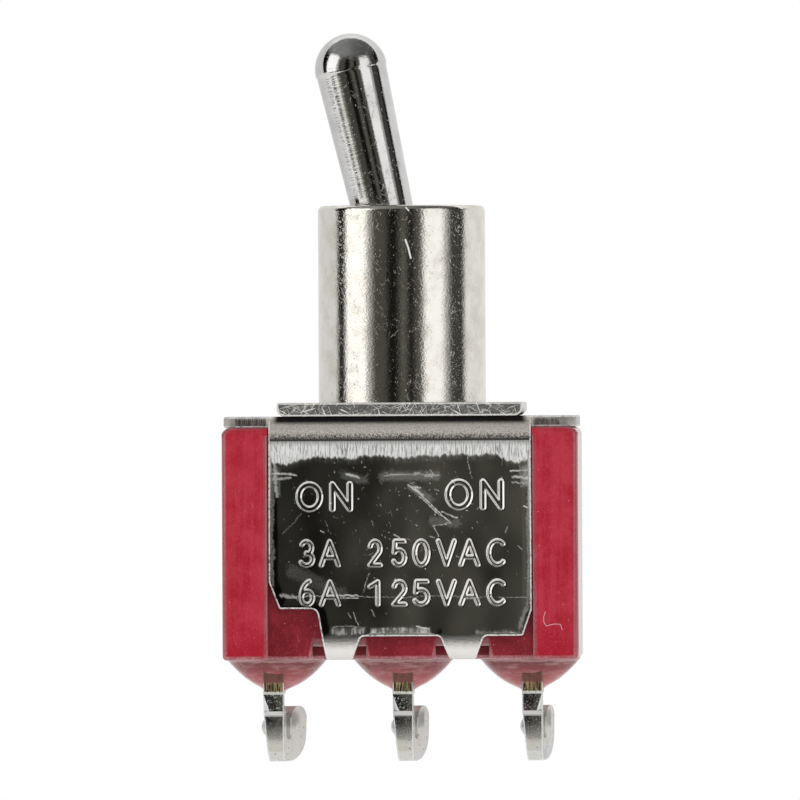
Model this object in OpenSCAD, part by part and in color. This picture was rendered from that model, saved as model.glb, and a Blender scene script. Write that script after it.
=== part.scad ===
// Miniature panel toggle switch: one changeover circuit worked by a leaning lever.
// Origin: bushing axis at the top face of the flange, where the panel lies.
// +X runs along the row of lugs, +Y to the back and +Z up the bushing. Millimetres.

/* [Lever] */
// Lean of the lever to either side of upright, in degrees
lever_lean = 12.4; // [9:0.1:13]
// Height of the lever's pivot above the top face of the flange
pivot_height = 3.9; // [3.6:0.05:4.1]
// Distance from the pivot to the end of the ball tip
lever_reach = 9.72; // [8:0.02:12]
// Diameter of the ball tip
lever_tip_d = 2.64; // [2.4:0.02:3]
// Diameter of the lever's taper, carried down to the pivot
lever_root_d = 2.12; // [1.8:0.02:2.2]
// Diameter of the pivot ball
pivot_ball_d = 3.5; // [3.4:0.02:3.6]
// Diameter of the tail below the ball
tail_d = 2.3; // [2.1:0.05:2.4]
// Length of the tail from the pivot to its lower end
tail_length = 7.3; // [6.9:0.1:7.6]
// Diameter of the cross pin
pivot_pin_d = 0.8; // [0.6:0.05:1]
// Length of the cross pin
pivot_pin_length = 5.2; // [4.8:0.1:5.4]

/* [Plunger] */
// Diameter of the plunger
plunger_d = 1.3; // [1.1:0.05:1.4]
// Radius of the plunger's rounded tip
plunger_tip_r = 0.7; // [0.7:0.05:1]
// Length of the plunger from its upper end to its tip
plunger_length = 3; // [2.6:0.1:3.4]
// Distance from the pivot to the upper end of the spring bore
spring_bore_top = 2.2; // [2:0.1:2.6]
// Diameter of the spring wire
spring_wire_d = 0.2; // [0.14:0.02:0.24]
// Turns of the spring
spring_turns = 7; // [5:1:9]
// Gap between the plunger's tip and the rocker at rest
plunger_gap = 0.22; // [0.2:0.01:0.4]

/* [Bushing] */
// Outside diameter of the bushing
bushing_d = 6.08; // [5.9:0.02:6.4]
// Height of the bushing above the top face of the flange
bushing_height = 7.15; // [6.6:0.05:8]
// Radius round the top edge of the bushing
bushing_edge_r = 0.22; // [0.1:0.02:0.4]
// Width of the flange along the row of lugs
flange_w = 8.9; // [8:0.1:10]
// Depth of the flange from front to back
flange_depth = 6.4; // [6.2:0.1:6.8]
// Thickness of the flange
flange_t = 0.5; // [0.4:0.05:0.8]
// Radius on the lower edges of the flange's ends
flange_edge_r = 0.3; // [0.1:0.05:0.35]
// Thickness of the rim staked over under the frame
stake_t = 0.3; // [0.2:0.05:0.4]
// Overhang of the staked rim past the hole in the frame
stake_lip = 0.25; // [0.15:0.05:0.4]
// Wall left at each end of the spigot
spigot_wall = 0.45; // [0.35:0.05:0.6]

/* [Frame] */
// Thickness of the frame's sheet
sheet_t = 0.4; // [0.3:0.05:0.5]
// Inside radius of the bends between the top and the flaps
bend_r = 0.5; // [0.3:0.05:0.7]
// Inside radius of the bends in the tabs
tab_bend_r = 0.4; // [0.25:0.05:0.45]
// Width of the front and back flaps
flap_w = 9.52; // [9:0.02:9.8]
// Width of the top over its wings
wing_span = 12.8; // [12:0.1:12.9]
// Depth of the wings from front to back
wing_depth = 6; // [5.6:0.1:6.4]
// Radius of the wings' corners
wing_corner_r = 0.5; // [0.2:0.1:0.9]
// Height of the flaps' lower edge above the bottom of the case
flap_margin = 0.86; // [0.8:0.01:1]
// Distance of the tabs from the middle of a flap
tab_x = 2.23; // [2:0.01:2.4]
// Width of a tab at the flap's lower edge
tab_root_w = 1.6; // [1.4:0.05:1.7]
// Width of a tab at its end
tab_end_w = 0.95; // [0.8:0.05:1.1]
// Flat length of a tab under the case, past its bend
tab_flat = 0.55; // [0.3:0.05:0.6]
// Height of the large corner cut above the flap's lower edge
corner_cut_h = 1; // [0.8:0.05:1.2]
// Height of the slope over the large corner cut
corner_slope_h = 0.98; // [0.8:0.05:1.2]
// Width of the slope over the large corner cut
corner_slope_w = 0.38; // [0.2:0.02:0.5]
// Height of the small corner cut
small_cut_h = 0.95; // [0.6:0.05:1.2]
// Width of the small corner cut
small_cut_w = 0.33; // [0.2:0.01:0.5]
// Radius of the fillets at the tabs' roots
tab_fillet_r = 0.2; // [0.1:0.02:0.3]
// Radius of the fillet in the large corner cut
corner_fillet_r = 0.26; // [0.1:0.02:0.4]

/* [Case] */
// Width of the case along the row of lugs
case_w = 12.9; // [12.7:0.1:13.4]
// Depth of the case from front to back
case_depth = 6.86; // [6.8:0.02:7.2]
// Height of the case
case_height = 8.42; // [8.2:0.02:8.6]
// Radius of the case's upright corners
case_corner_r = 0.25; // [0.1:0.05:0.4]
// Radius of the case's upper edges
case_edge_r = 0.3; // [0.1:0.05:0.4]
// Depth of the recess for each flap
recess_depth = 0.45; // [0.4:0.01:0.5]
// Wall between the cavity and a flap's recess
side_wall = 0.78; // [0.6:0.02:0.85]
// Wall at each end of the case
end_wall = 1.15; // [0.9:0.05:1.2]
// Thickness of the floor under the cavity
floor_t = 2.72; // [2.5:0.02:2.9]
// Room at each side of a tab in its notch
notch_side = 0.17; // [0.1:0.01:0.25]

/* [Contacts] */
// Lean of the rocker to either side of level, in degrees
rocker_lean = 8; // [7:0.5:9]
// Slope of the closed arm of the rocker, in degrees
closed_slope = 6.3; // [5.5:0.1:7]
// Thickness of the rocker
rocker_t = 0.35; // [0.3:0.05:0.4]
// Width of the rocker from front to back
rocker_w = 2.4; // [2:0.1:3]
// Length of each arm of the rocker
rocker_arm = 4.4; // [4.2:0.05:4.5]
// Metal left in the rocker over its pivot
rocker_web = 0.22; // [0.18:0.02:0.26]
// Distance of the moving contacts along the arms
contact_reach = 3.75; // [3.6:0.05:3.8]
// Diameter of the contacts
contact_d = 1.2; // [1:0.05:1.3]
// Thickness of the contacts
contact_t = 0.3; // [0.25:0.01:0.4]
// Radius of the fixed contacts' domed face
contact_dome_r = 1; // [0.9:0.05:1.5]

/* [Terminals] */
// Distance between neighbouring lugs
lug_pitch = 4.7; // [4.6:0.02:4.76]
// Thickness of the lugs' metal
lug_t = 0.75; // [0.6:0.05:0.8]
// Width of the lugs from front to back
lug_w = 2; // [1.8:0.05:2.2]
// Length of the end terminals' inner foot along the row
foot_length = 2; // [1.9:0.05:2.2]
// Length of the plain shank below the case
shank_length = 1.28; // [1.24:0.02:1.6]
// Length of the neck under the shank
neck_length = 0.6; // [0.4:0.05:0.8]
// Step of the neck behind the lug's front edge
neck_step = 0.15; // [0.1:0.01:0.25]
// Width of the neck from front to back
neck_w = 0.65; // [0.5:0.05:0.75]
// Length of the hook from its upper end to its round bottom
hook_length = 1.84; // [1.7:0.02:2.2]
// Width of the wire slot in the hook
hook_slot = 0.3; // [0.25:0.01:0.4]
// Depth of metal under the wire slot
hook_root = 0.8; // [0.6:0.05:0.9]
// Height of the prong above the hook's upper end
prong_rise = 0.17; // [0.05:0.01:0.3]
// Height of the wire stop on the left side of each hook
stop_rise = 0.08; // [0.04:0.01:0.12]
// Radius of the wire stop's round face
stop_r = 0.42; // [0.35:0.01:0.5]
// Distance of the wire stop behind the hook's front edge
stop_setback = 0.02; // [0:0.01:0.1]
// Height of the hook's upper end above the middle of the wire stop
stop_depth = 0.57; // [0.5:0.01:0.7]
// Taper of each hook's left side towards its bottom
hook_taper = 0.18; // [0.1:0.01:0.25]
// Bevel at the lower front edge of the shank
shank_bevel = 0.07; // [0.04:0.01:0.1]
// Width of the coined facet at one front corner of the neck
neck_facet = 0.18; // [0.1:0.01:0.25]
// Bend of the left hook's free prong out of line, in degrees
left_hook_bend = 30; // [0:1:32]
// Bend of the common hook's free prong, in degrees
common_hook_bend = 22; // [0:1:32]
// Bend of the right hook's free prong, in degrees
right_hook_bend = 17; // [0:1:32]

/* [Seals] */
// Half the width of a seal along the row
seal_r = 1.84; // [1.7:0.01:1.84]
// Half the depth of a seal from front to back
seal_half_depth = 1.28; // [1.2:0.02:1.6]
// Depth of a seal below the case, at its lowest point
seal_drop = 1.12; // [1:0.02:1.2]
// Shift of the end seals from their lugs towards the middle
seal_shift = 0.1; // [0:0.02:0.2]
// Depth of the well that keys a seal into the case
well_depth = 0.5; // [0.3:0.05:0.7]
// Room between a well's edge and the edge of its seal
well_margin = 0.12; // [0.1:0.02:0.16]

/* [Fits] */
// Running clearance of the pivot ball in its seat
ball_clearance = 0.05; // [0.03:0.01:0.08]
// Running clearance of the cross pin in its slots
pin_clearance = 0.03; // [0.02:0.01:0.06]
// Running clearance of the plunger in its bore
plunger_clearance = 0.04; // [0.03:0.01:0.08]
// Running clearance of the rocker on the common terminal
rocker_clearance = 0.05; // [0.03:0.01:0.08]
// Gap between closed contacts
contact_gap = 0.05; // [0.04:0.01:0.1]
// Room round the swinging lever and tail inside the bushing
swing_clearance = 0.13; // [0.1:0.01:0.16]
// Assembly clearance between still pieces
fit_clearance = 0.03; // [0.02:0.01:0.05]

/* [Hidden] */
$fn = 64;
over = 1;
coil_sides = 6;
coil_steps = 12;

plated_steel = [0.62, 0.61, 0.58];
nickel = [0.74, 0.72, 0.68];
chrome = [0.78, 0.78, 0.79];
case_red = [0.68, 0.1, 0.18];
resin = [0.72, 0.38, 0.42];
tin = [0.8, 0.8, 0.78];
silver = [0.86, 0.86, 0.85];
copper_alloy = [0.76, 0.58, 0.32];
spring_steel = [0.5, 0.5, 0.52];
nylon = [0.9, 0.89, 0.84];

// Levels from the flange down to the bottom of the case
frame_top = -flange_t;
case_top = frame_top - sheet_t;
case_bottom = case_top - case_height;
stake_bottom = case_top - stake_t;
floor_top = case_bottom + floor_t;

// Lever, worked out in its own upright position with the pivot at height 0
tip_r = lever_tip_d / 2;
tip_centre = lever_reach - tip_r;
root_r = lever_root_d / 2;
tip_taper = 0.993;
tail_r = tail_d / 2;
ball_r = pivot_ball_d / 2;
pin_r = pivot_pin_d / 2;
seat_r = ball_r + ball_clearance;
bore_r = seat_r + fit_clearance;
function lever_r(h) = root_r + (tip_r * tip_taper - root_r) * h / tip_centre;
function lever_swing(h) = lever_r(h) / cos(lever_lean) + h * tan(lever_lean);
function tail_swing(h) = tail_r / cos(lever_lean) + h * tan(lever_lean);

// Bushing's inside
mouth_height = bushing_height - pivot_height;
throat_height = seat_r * 0.55;
mouth_r = lever_swing(mouth_height) + swing_clearance;
throat_r = lever_swing(throat_height) + swing_clearance;
slot_depth = pivot_height - stake_bottom;
slot_half = tail_swing(slot_depth) + swing_clearance;
slot_half_top = tail_swing(0) + swing_clearance;
slot_y = tail_r + swing_clearance;
pin_slot_y = pivot_pin_length / 2 + fit_clearance;
spigot_r = slot_half + spigot_wall;
spigot_y = bore_r + stake_t;

// Frame and the case behind its flaps
recess_y = case_depth / 2 - recess_depth;
recess_w = flap_w + 2 * fit_clearance;
flap_in = recess_y + fit_clearance;
flap_out = flap_in + sheet_t;
flap_z = case_bottom + flap_margin;
cut_z = flap_z + corner_cut_h;
tab_z = case_bottom + fit_clearance;
tab_y = flap_in - tab_bend_r - tab_flat;
notch_top = tab_z + sheet_t + 2 * fit_clearance;
notch_w = tab_root_w + 2 * notch_side;
notch_y = tab_y - notch_side;
cavity_half = case_w / 2 - end_wall;
cavity_y = recess_y - side_wall;

// Fixed contacts, then the rocker on its pivot, then the plunger on the rocker
foot_top = floor_top + lug_t;
contact_r = contact_d / 2;
dome_rise = contact_dome_r - sqrt(contact_dome_r * contact_dome_r - contact_r * contact_r);
dome_centre_z = foot_top + contact_t - contact_dome_r;
arm_slope = closed_slope + rocker_lean;
pivot_r = lug_t / 2;
groove_r = pivot_r + rocker_clearance;
apex_h = groove_r + rocker_web;
button_drop = rocker_t + contact_t;
closed_reach = contact_dome_r + contact_gap;
apex_x = apex_h * sin(rocker_lean);
face_x = apex_x + contact_reach * cos(closed_slope) + button_drop * sin(closed_slope);
face_h = apex_h * cos(rocker_lean) + contact_reach * sin(closed_slope)
    - button_drop * cos(closed_slope);
contact_x = face_x + closed_reach * sin(closed_slope);
rocker_z = dome_centre_z + closed_reach * cos(closed_slope) - face_h;
apex_z = rocker_z + apex_h * cos(rocker_lean);
plunger_r = plunger_d / 2;
plunger_bore_r = plunger_r + plunger_clearance;
plunger_centre = (apex_x * sin(closed_slope) + (pivot_height - apex_z) * cos(closed_slope)
    - plunger_tip_r - plunger_gap) / cos(lever_lean - closed_slope);
plunger_top = plunger_centre + plunger_tip_r - plunger_length;
spring_start = spring_bore_top + spring_wire_d / 2 + fit_clearance;
spring_end = plunger_top - spring_wire_d / 2 - fit_clearance;
spring_r = plunger_bore_r - spring_wire_d / 2 - plunger_clearance;

// Lugs and seals below the case
shank_end = case_bottom - shank_length;
hook_top = shank_end - neck_length;
hook_r = lug_w / 2;
hook_centre = hook_top - hook_length + hook_r;
front_arm = neck_step + neck_w;
slot_left = front_arm - hook_r;
prong_w = lug_w - front_arm - hook_slot;
slot_r = hook_slot / 2;
neck_front = neck_step - hook_r;
hook_bottom = hook_top - hook_length;
stop_y = stop_r + stop_setback - hook_r;
stop_z = hook_top - stop_depth;
seal_dome_r = (seal_r * seal_r + seal_drop * seal_drop) / (2 * seal_drop);
seal_side_r = (seal_half_depth * seal_half_depth + seal_drop * seal_drop) / (2 * seal_drop);
well_r = seal_r - well_margin;
well_y = seal_half_depth - well_margin;

// Places a shape drawn upright about the pivot on the leaning lever.
module on_lever() {
    translate([0, 0, pivot_height]) rotate([0, -lever_lean, 0]) children();
}

// Places a shape drawn level about the rocker's pivot on the leaning rocker.
module on_rocker() {
    translate([0, 0, rocker_z]) rotate([0, rocker_lean, 0]) children();
}

// Extrudes a front-view outline (X, Z) evenly about the middle of the part.
module front_slab(depth) {
    rotate([90, 0, 0]) linear_extrude(depth, center = true) children();
}

// Extrudes an end-view outline (Y, Z) evenly about the middle of the part.
module end_slab(width) {
    rotate([90, 0, 90]) linear_extrude(width, center = true) children();
}

// Region outside a rounded corner at (x, z) that points towards the signs sx and sz.
module corner_waste(x, z, sx, sz, r) {
    translate([x - sx * r, z - sz * r])
        mirror([sx < 0 ? 1 : 0, 0])
            mirror([0, sz < 0 ? 1 : 0])
                difference() {
                    square(r + over);
                    circle(r);
                }
}

// Outline of a section with its own corner radii at the top and the bottom.
module rounded_section(half_w, low, high, r_low, r_high) {
    difference() {
        translate([-half_w, low]) square([2 * half_w, high - low]);
        for (side = [-1, 1]) {
            corner_waste(side * half_w, high, side, 1, r_high);
            corner_waste(side * half_w, low, side, -1, r_low);
        }
    }
}

// Plan of a rectangle with four equal round corners.
module rounded_plan(width, depth, r) {
    rounded_section(width / 2, -depth / 2, depth / 2, r, r);
}

// Plan of a circle with its front and back cut flat.
module flatted_plan(r, half_depth) {
    intersection() {
        circle(r);
        square([2 * r + over, 2 * half_depth], center = true);
    }
}

// Lever: ball tip, tapered stem, pivot ball and hollow tail, turned in one piece.
module toggle_lever() {
    color(chrome) on_lever() difference() {
        rotate_extrude() intersection() {
            translate([0, -tail_length - over]) square([2 * ball_r, 2 * (tail_length + lever_reach)]);
            union() {
                translate([0, -tail_length]) square([tail_r, tail_length]);
                circle(ball_r);
                polygon([[0, 0], [root_r, 0], [lever_r(tip_centre), tip_centre], [0, tip_centre]]);
                translate([0, tip_centre]) circle(tip_r);
            }
        }
        translate([0, 0, -tail_length - over])
            cylinder(r = plunger_bore_r, h = tail_length - spring_bore_top + over);
        rotate([90, 0, 0]) cylinder(r = pin_r + fit_clearance / 2, h = pivot_ball_d + over, center = true);
    }
}

// Cross pin through the pivot ball, with its ends in the bushing's two slots.
module pivot_pin() {
    color(spring_steel) on_lever()
        rotate([90, 0, 0]) cylinder(r = pin_r, h = pivot_pin_length, center = true);
}

// Point on the spring: step i along the coil, corner j round the wire.
function coil_point(i, j) =
    let (
        steps = spring_turns * coil_steps,
        turn = 360 * i / coil_steps,
        side = 360 * j / coil_sides,
        r = spring_r + spring_wire_d / 2 * cos(side),
        h = -spring_start - (spring_end - spring_start) * i / steps
    )
    [r * cos(turn), r * sin(turn), h + spring_wire_d / 2 * sin(side)];

// Coil spring between the end of its bore and the plunger.
module plunger_spring() {
    steps = spring_turns * coil_steps;
    points = [for (i = [0:steps], j = [0:coil_sides - 1]) coil_point(i, j)];
    walls = [
        for (i = [0:steps - 1], j = [0:coil_sides - 1])
            let (next = (j + 1) % coil_sides, a = i * coil_sides, b = a + coil_sides)
            each [[a + j, b + j, b + next], [a + j, b + next, a + next]]
    ];
    start_cap = [[for (j = [0:coil_sides - 1]) j]];
    end_cap = [[for (j = [0:coil_sides - 1]) steps * coil_sides + coil_sides - 1 - j]];
    color(spring_steel) on_lever()
        polyhedron(points, concat(walls, start_cap, end_cap));
}

// Plunger: a plain rod with a domed lower end.
module plunger() {
    color(nylon) on_lever()
        translate([0, 0, -plunger_centre]) rotate_extrude() intersection() {
            translate([0, -plunger_tip_r]) square([plunger_r, plunger_length]);
            union() {
                circle(plunger_tip_r);
                square([plunger_tip_r, plunger_length]);
            }
        }
}

// Bushing: barrel, rectangular flange and staked spigot, with the lever's seat inside.
module bushing() {
    color(nickel) difference() {
        union() {
            rotate_extrude() difference() {
                translate([0, frame_top]) square([bushing_d / 2, bushing_height - frame_top]);
                corner_waste(bushing_d / 2, bushing_height, 1, 1, bushing_edge_r);
            }
            front_slab(flange_depth)
                rounded_section(flange_w / 2, frame_top, 0, flange_edge_r, flange_edge_r / 4);
            translate([0, 0, stake_bottom]) linear_extrude(-stake_bottom)
                flatted_plan(spigot_r, spigot_y);
            translate([0, 0, stake_bottom]) linear_extrude(stake_t)
                flatted_plan(spigot_r + fit_clearance + stake_lip, spigot_y);
        }
        translate([0, 0, pivot_height]) intersection() {
            sphere(seat_r);
            translate([0, 0, seat_r]) cube(2 * seat_r, center = true);
        }
        translate([0, 0, pivot_height]) rotate_extrude() polygon([
            [0, throat_height],
            [throat_r, throat_height],
            [mouth_r, mouth_height],
            [mouth_r, mouth_height + over],
            [0, mouth_height + over]
        ]);
        translate([0, 0, stake_bottom - over]) cylinder(r = bore_r, h = slot_depth + over);
        front_slab(2 * slot_y) polygon([
            [-slot_half_top, pivot_height],
            [slot_half_top, pivot_height],
            [slot_half, stake_bottom],
            [slot_half, stake_bottom - over],
            [-slot_half, stake_bottom - over],
            [-slot_half, stake_bottom]
        ]);
        front_slab(2 * pin_slot_y) translate([0, pivot_height]) {
            circle(pin_r + pin_clearance);
            translate([-pin_r - pin_clearance, -slot_depth - over])
                square([2 * (pin_r + pin_clearance), slot_depth + over]);
        }
    }
}

// Fillet of radius r in the inside corner p between the directions at angles a and b.
module corner_fillet(p, a, b, r) {
    half = abs(b - a) / 2;
    mid = (a + b) / 2;
    leg = r / tan(half);
    centre = p + r / sin(half) * [cos(mid), sin(mid)];
    difference() {
        polygon([p, p + leg * [cos(a), sin(a)], centre, p + leg * [cos(b), sin(b)]]);
        translate(centre) circle(r);
    }
}

// Front flap seen from the front: one large and one small corner cut, and two tapered tabs.
module flap_outline() {
    half = flap_w / 2;
    root = tab_root_w / 2;
    end = tab_end_w / 2;
    lean = atan2(flap_z - tab_z, root - end);
    cut_lean = atan2(cut_z - tab_z, root - end);
    polygon([
        [-half, frame_top],
        [-half, cut_z + corner_slope_h],
        [-half + corner_slope_w, cut_z],
        [-tab_x - root, cut_z],
        [-tab_x - end, tab_z],
        [-tab_x + end, tab_z],
        [-tab_x + root, flap_z],
        [tab_x - root, flap_z],
        [tab_x - end, tab_z],
        [tab_x + end, tab_z],
        [tab_x + root, flap_z],
        [half - small_cut_w, flap_z],
        [half, flap_z + small_cut_h],
        [half, frame_top]
    ]);
    corner_fillet([-tab_x - root, cut_z], -180, -cut_lean, corner_fillet_r);
    corner_fillet([-tab_x + root, flap_z], -180 + lean, 0, tab_fillet_r);
    corner_fillet([tab_x - root, flap_z], -180, -lean, tab_fillet_r);
    corner_fillet([tab_x + root, flap_z], -180 + lean, 0, tab_fillet_r);
}

// Frame: one folded strip with wings over the case ends and tabs bent under the case.
module frame() {
    color(plated_steel) difference() {
        union() {
            intersection() {
                end_slab(flap_w) difference() {
                    rounded_section(flap_out, tab_z, frame_top, tab_bend_r + sheet_t, bend_r + sheet_t);
                    rounded_section(flap_in, tab_z + sheet_t, case_top, tab_bend_r, bend_r);
                    translate([-tab_y, tab_z - over]) square([2 * tab_y, floor_t]);
                }
                for (turn = [0, 180]) {
                    rotate([0, 0, turn]) rotate([90, 0, 0]) linear_extrude(case_depth) flap_outline();
                }
            }
            translate([0, 0, case_top]) linear_extrude(sheet_t)
                rounded_plan(wing_span, wing_depth, wing_corner_r);
        }
        translate([0, 0, case_top - over]) linear_extrude(sheet_t + 2 * over)
            flatted_plan(spigot_r + fit_clearance, spigot_y + fit_clearance);
    }
}

// Case: open at the top, with a recess for each flap, tab notches, lug slots and seal wells.
module case() {
    color(case_red) difference() {
        translate([0, 0, case_bottom]) linear_extrude(case_height) difference() {
            rounded_plan(case_w, case_depth, case_corner_r);
            for (side = [-1, 1]) {
                translate([0, side * (recess_y + over)]) square([recess_w, 2 * over], center = true);
            }
        }
        translate([-cavity_half, -cavity_y, floor_top])
            cube([2 * cavity_half, 2 * cavity_y, case_height]);
        for (side = [-1, 1]) {
            end_slab(recess_w) corner_waste(side * recess_y, case_top, side, 1, bend_r + fit_clearance);
            end_slab(case_w + over) corner_waste(side * case_depth / 2, case_top, side, 1, case_edge_r);
            front_slab(case_depth + over) corner_waste(side * case_w / 2, case_top, side, 1, case_edge_r);
            for (tab = [-tab_x, tab_x]) {
                translate([tab, 0, 0]) end_slab(notch_w) tab_notch(side);
            }
        }
        for (place = [-1, 0, 1]) {
            translate([place * (lug_pitch - seal_shift), 0, case_bottom - over])
                linear_extrude(well_depth + over) flatted_plan(well_r, well_y);
            translate([place * lug_pitch, 0, case_bottom - over]) linear_extrude(floor_t + 2 * over)
                square([lug_t + 2 * fit_clearance, lug_w + 2 * fit_clearance], center = true);
        }
    }
}

// End view of the notch that a tab turns into, rounded to the tab's bend.
module tab_notch(side) {
    near = side > 0 ? notch_y : -recess_y - over;
    translate([near, case_bottom - over]) square([recess_y + over - notch_y, notch_top - case_bottom + over]);
    corner_waste(side * recess_y, notch_top, side, -1, tab_bend_r);
}

// Rocker: a shallow V with a groove that sits on the common terminal's round top.
module rocker() {
    far = rocker_arm * [cos(arm_slope), sin(arm_slope)];
    under = rocker_t * [sin(arm_slope), -cos(arm_slope)];
    color(copper_alloy) on_rocker() front_slab(rocker_w) difference() {
        polygon([
            [0, apex_h],
            [far.x, apex_h + far.y],
            [far.x + under.x, apex_h + far.y + under.y],
            [0, apex_h - rocker_t / cos(arm_slope)],
            [-far.x - under.x, apex_h + far.y + under.y],
            [-far.x, apex_h + far.y]
        ]);
        circle(groove_r);
    }
}

// Moving contact: a flat button under the end of one arm of the rocker.
module rocker_contact(side) {
    color(silver) on_rocker() translate([0, 0, apex_h]) rotate([0, -side * arm_slope, 0])
        translate([side * contact_reach, 0, -button_drop]) cylinder(d = contact_d, h = contact_t);
}

// Fixed contact: a domed button on an end terminal's foot.
module fixed_contact(side) {
    color(silver) translate([side * contact_x, 0, 0]) rotate_extrude() intersection() {
        translate([0, foot_top]) square([contact_r, contact_t]);
        union() {
            translate([0, dome_centre_z]) circle(contact_dome_r);
            translate([0, foot_top]) square([contact_r, contact_t - dome_rise]);
        }
    }
}

// Hook of a lug, seen from the end: a front arm with a sloped shoulder, a round bottom and a free prong.
module hook_outline() {
    prong_r = prong_w / 2;
    difference() {
        union() {
            intersection() {
                translate([0, hook_centre]) circle(hook_r);
                translate([-hook_r, hook_bottom]) square([lug_w, hook_r]);
            }
            polygon([[-hook_r, hook_centre], [slot_left, hook_centre], [slot_left, hook_top],
                [neck_front, hook_top], [-hook_r, hook_top - neck_step]]);
            translate([hook_r - prong_w, hook_centre])
                square([prong_w, hook_top + prong_rise - prong_r - hook_centre]);
            translate([hook_r - prong_r, hook_top + prong_rise - prong_r]) circle(prong_r);
        }
        translate([slot_left + slot_r, hook_bottom + hook_root + slot_r]) circle(slot_r);
        translate([slot_left, hook_bottom + hook_root + slot_r]) square([hook_slot, hook_length]);
    }
}

// Plan of a hook: straight along the front arm, then bent to the right behind it.
module bent_strip(bend) {
    half = lug_t / 2;
    mitre = half * tan(bend / 2);
    lean = tan(bend);
    back = hook_r + over;
    polygon([[-half, -hook_r - over], [half, -hook_r - over], [half, slot_left - mitre],
        [half + (back - slot_left + mitre) * lean, back],
        [(back - slot_left - mitre) * lean - half, back], [-half, slot_left + mitre]]);
}

// Hook of a lug: a plate bent out of line and thinner towards its bottom, with a round wire stop on its left.
module hook(bend) {
    difference() {
        intersection() {
            end_slab(2 * lug_w) hook_outline();
            translate([0, 0, hook_bottom - over]) linear_extrude(hook_length + prong_rise + 2 * over)
                bent_strip(bend);
        }
        translate([-lug_t / 2, 0, hook_top]) rotate([0, -atan(hook_taper / hook_length), 0])
            translate([-lug_t, -lug_w, -2 * hook_length]) cube([lug_t, 2 * lug_w, 2 * hook_length]);
    }
    translate([stop_r - stop_rise - lug_t / 2, stop_y, stop_z]) sphere(stop_r);
}

// Neck of a lug, with a facet that widens downwards at its left or right front corner.
module neck(facet_side) {
    length = neck_length + neck_step;
    difference() {
        translate([-lug_t / 2, neck_front, hook_top - neck_step]) cube([lug_t, neck_w, length]);
        mirror([facet_side > 0 ? 1 : 0, 0, 0]) translate([-lug_t / 2, neck_front, shank_end])
            rotate([0, 0, 45]) rotate([0, 90 - atan(neck_facet / (sqrt(2) * neck_length)), 0])
            translate([-length, -length, -2 * length]) cube(2 * length);
    }
}

// Lug below the floor of the case: plain shank, stepped neck and bent hook.
module lug(bend, facet_side) {
    difference() {
        translate([-lug_t / 2, -lug_w / 2, shank_end]) cube([lug_t, lug_w, floor_top - shank_end]);
        translate([0, -lug_w / 2, shank_end]) rotate([45, 0, 0])
            cube([2 * lug_t, sqrt(2) * shank_bevel, sqrt(2) * shank_bevel], center = true);
    }
    neck(facet_side);
    hook(bend);
}

// End terminal: a lug whose upper end is folded inwards as a foot for its contact.
module end_terminal(side, bend) {
    foot_end = lug_pitch + lug_t / 2;
    color(tin) {
        translate([side * lug_pitch, 0, 0]) lug(bend, side);
        translate([side > 0 ? foot_end - foot_length : -foot_end, -lug_w / 2, floor_top])
            cube([foot_length, lug_w, lug_t]);
    }
}

// Common terminal: a lug whose upper end is rounded over as the rocker's pivot.
module common_terminal() {
    color(tin) {
        lug(common_hook_bend, -1);
        front_slab(lug_w) {
            translate([0, rocker_z]) circle(pivot_r);
            translate([-pivot_r, floor_top - lug_t]) square([lug_t, rocker_z - floor_top + lug_t]);
        }
    }
}

// Seal: a resin drop, keyed into its well and moulded round the lug.
module seal(place) {
    color(resin) difference() {
        translate([place * (lug_pitch - seal_shift), 0, case_bottom]) {
            intersection() {
                translate([0, 0, seal_dome_r - seal_drop]) sphere(seal_dome_r);
                translate([0, 0, seal_side_r - seal_drop]) rotate([0, 90, 0])
                    cylinder(r = seal_side_r, h = 2 * seal_r + over, center = true);
                translate([0, 0, -seal_r]) cube(2 * seal_r, center = true);
            }
            linear_extrude(well_depth) flatted_plan(well_r, well_y);
        }
        translate([place * lug_pitch - lug_t / 2, -lug_w / 2, shank_end])
            cube([lug_t, lug_w, floor_top - shank_end]);
    }
}

module rocker_left_contact() { rocker_contact(-1); }
module rocker_right_contact() { rocker_contact(1); }
module left_contact() { fixed_contact(-1); }
module right_contact() { fixed_contact(1); }
module left_terminal() { end_terminal(-1, left_hook_bend); }
module right_terminal() { end_terminal(1, right_hook_bend); }
module left_seal() { seal(-1); }
module common_seal() { seal(0); }
module right_seal() { seal(1); }

toggle_lever();
pivot_pin();
plunger_spring();
plunger();
bushing();
frame();
case();
rocker();
rocker_left_contact();
rocker_right_contact();
left_contact();
right_contact();
left_terminal();
common_terminal();
right_terminal();
left_seal();
common_seal();
right_seal();
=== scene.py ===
from math import cos, pi, radians, sin

import bmesh
import bpy
import numpy as np
from mathutils import Matrix, Vector
from mathutils.geometry import delaunay_2d_cdt


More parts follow.
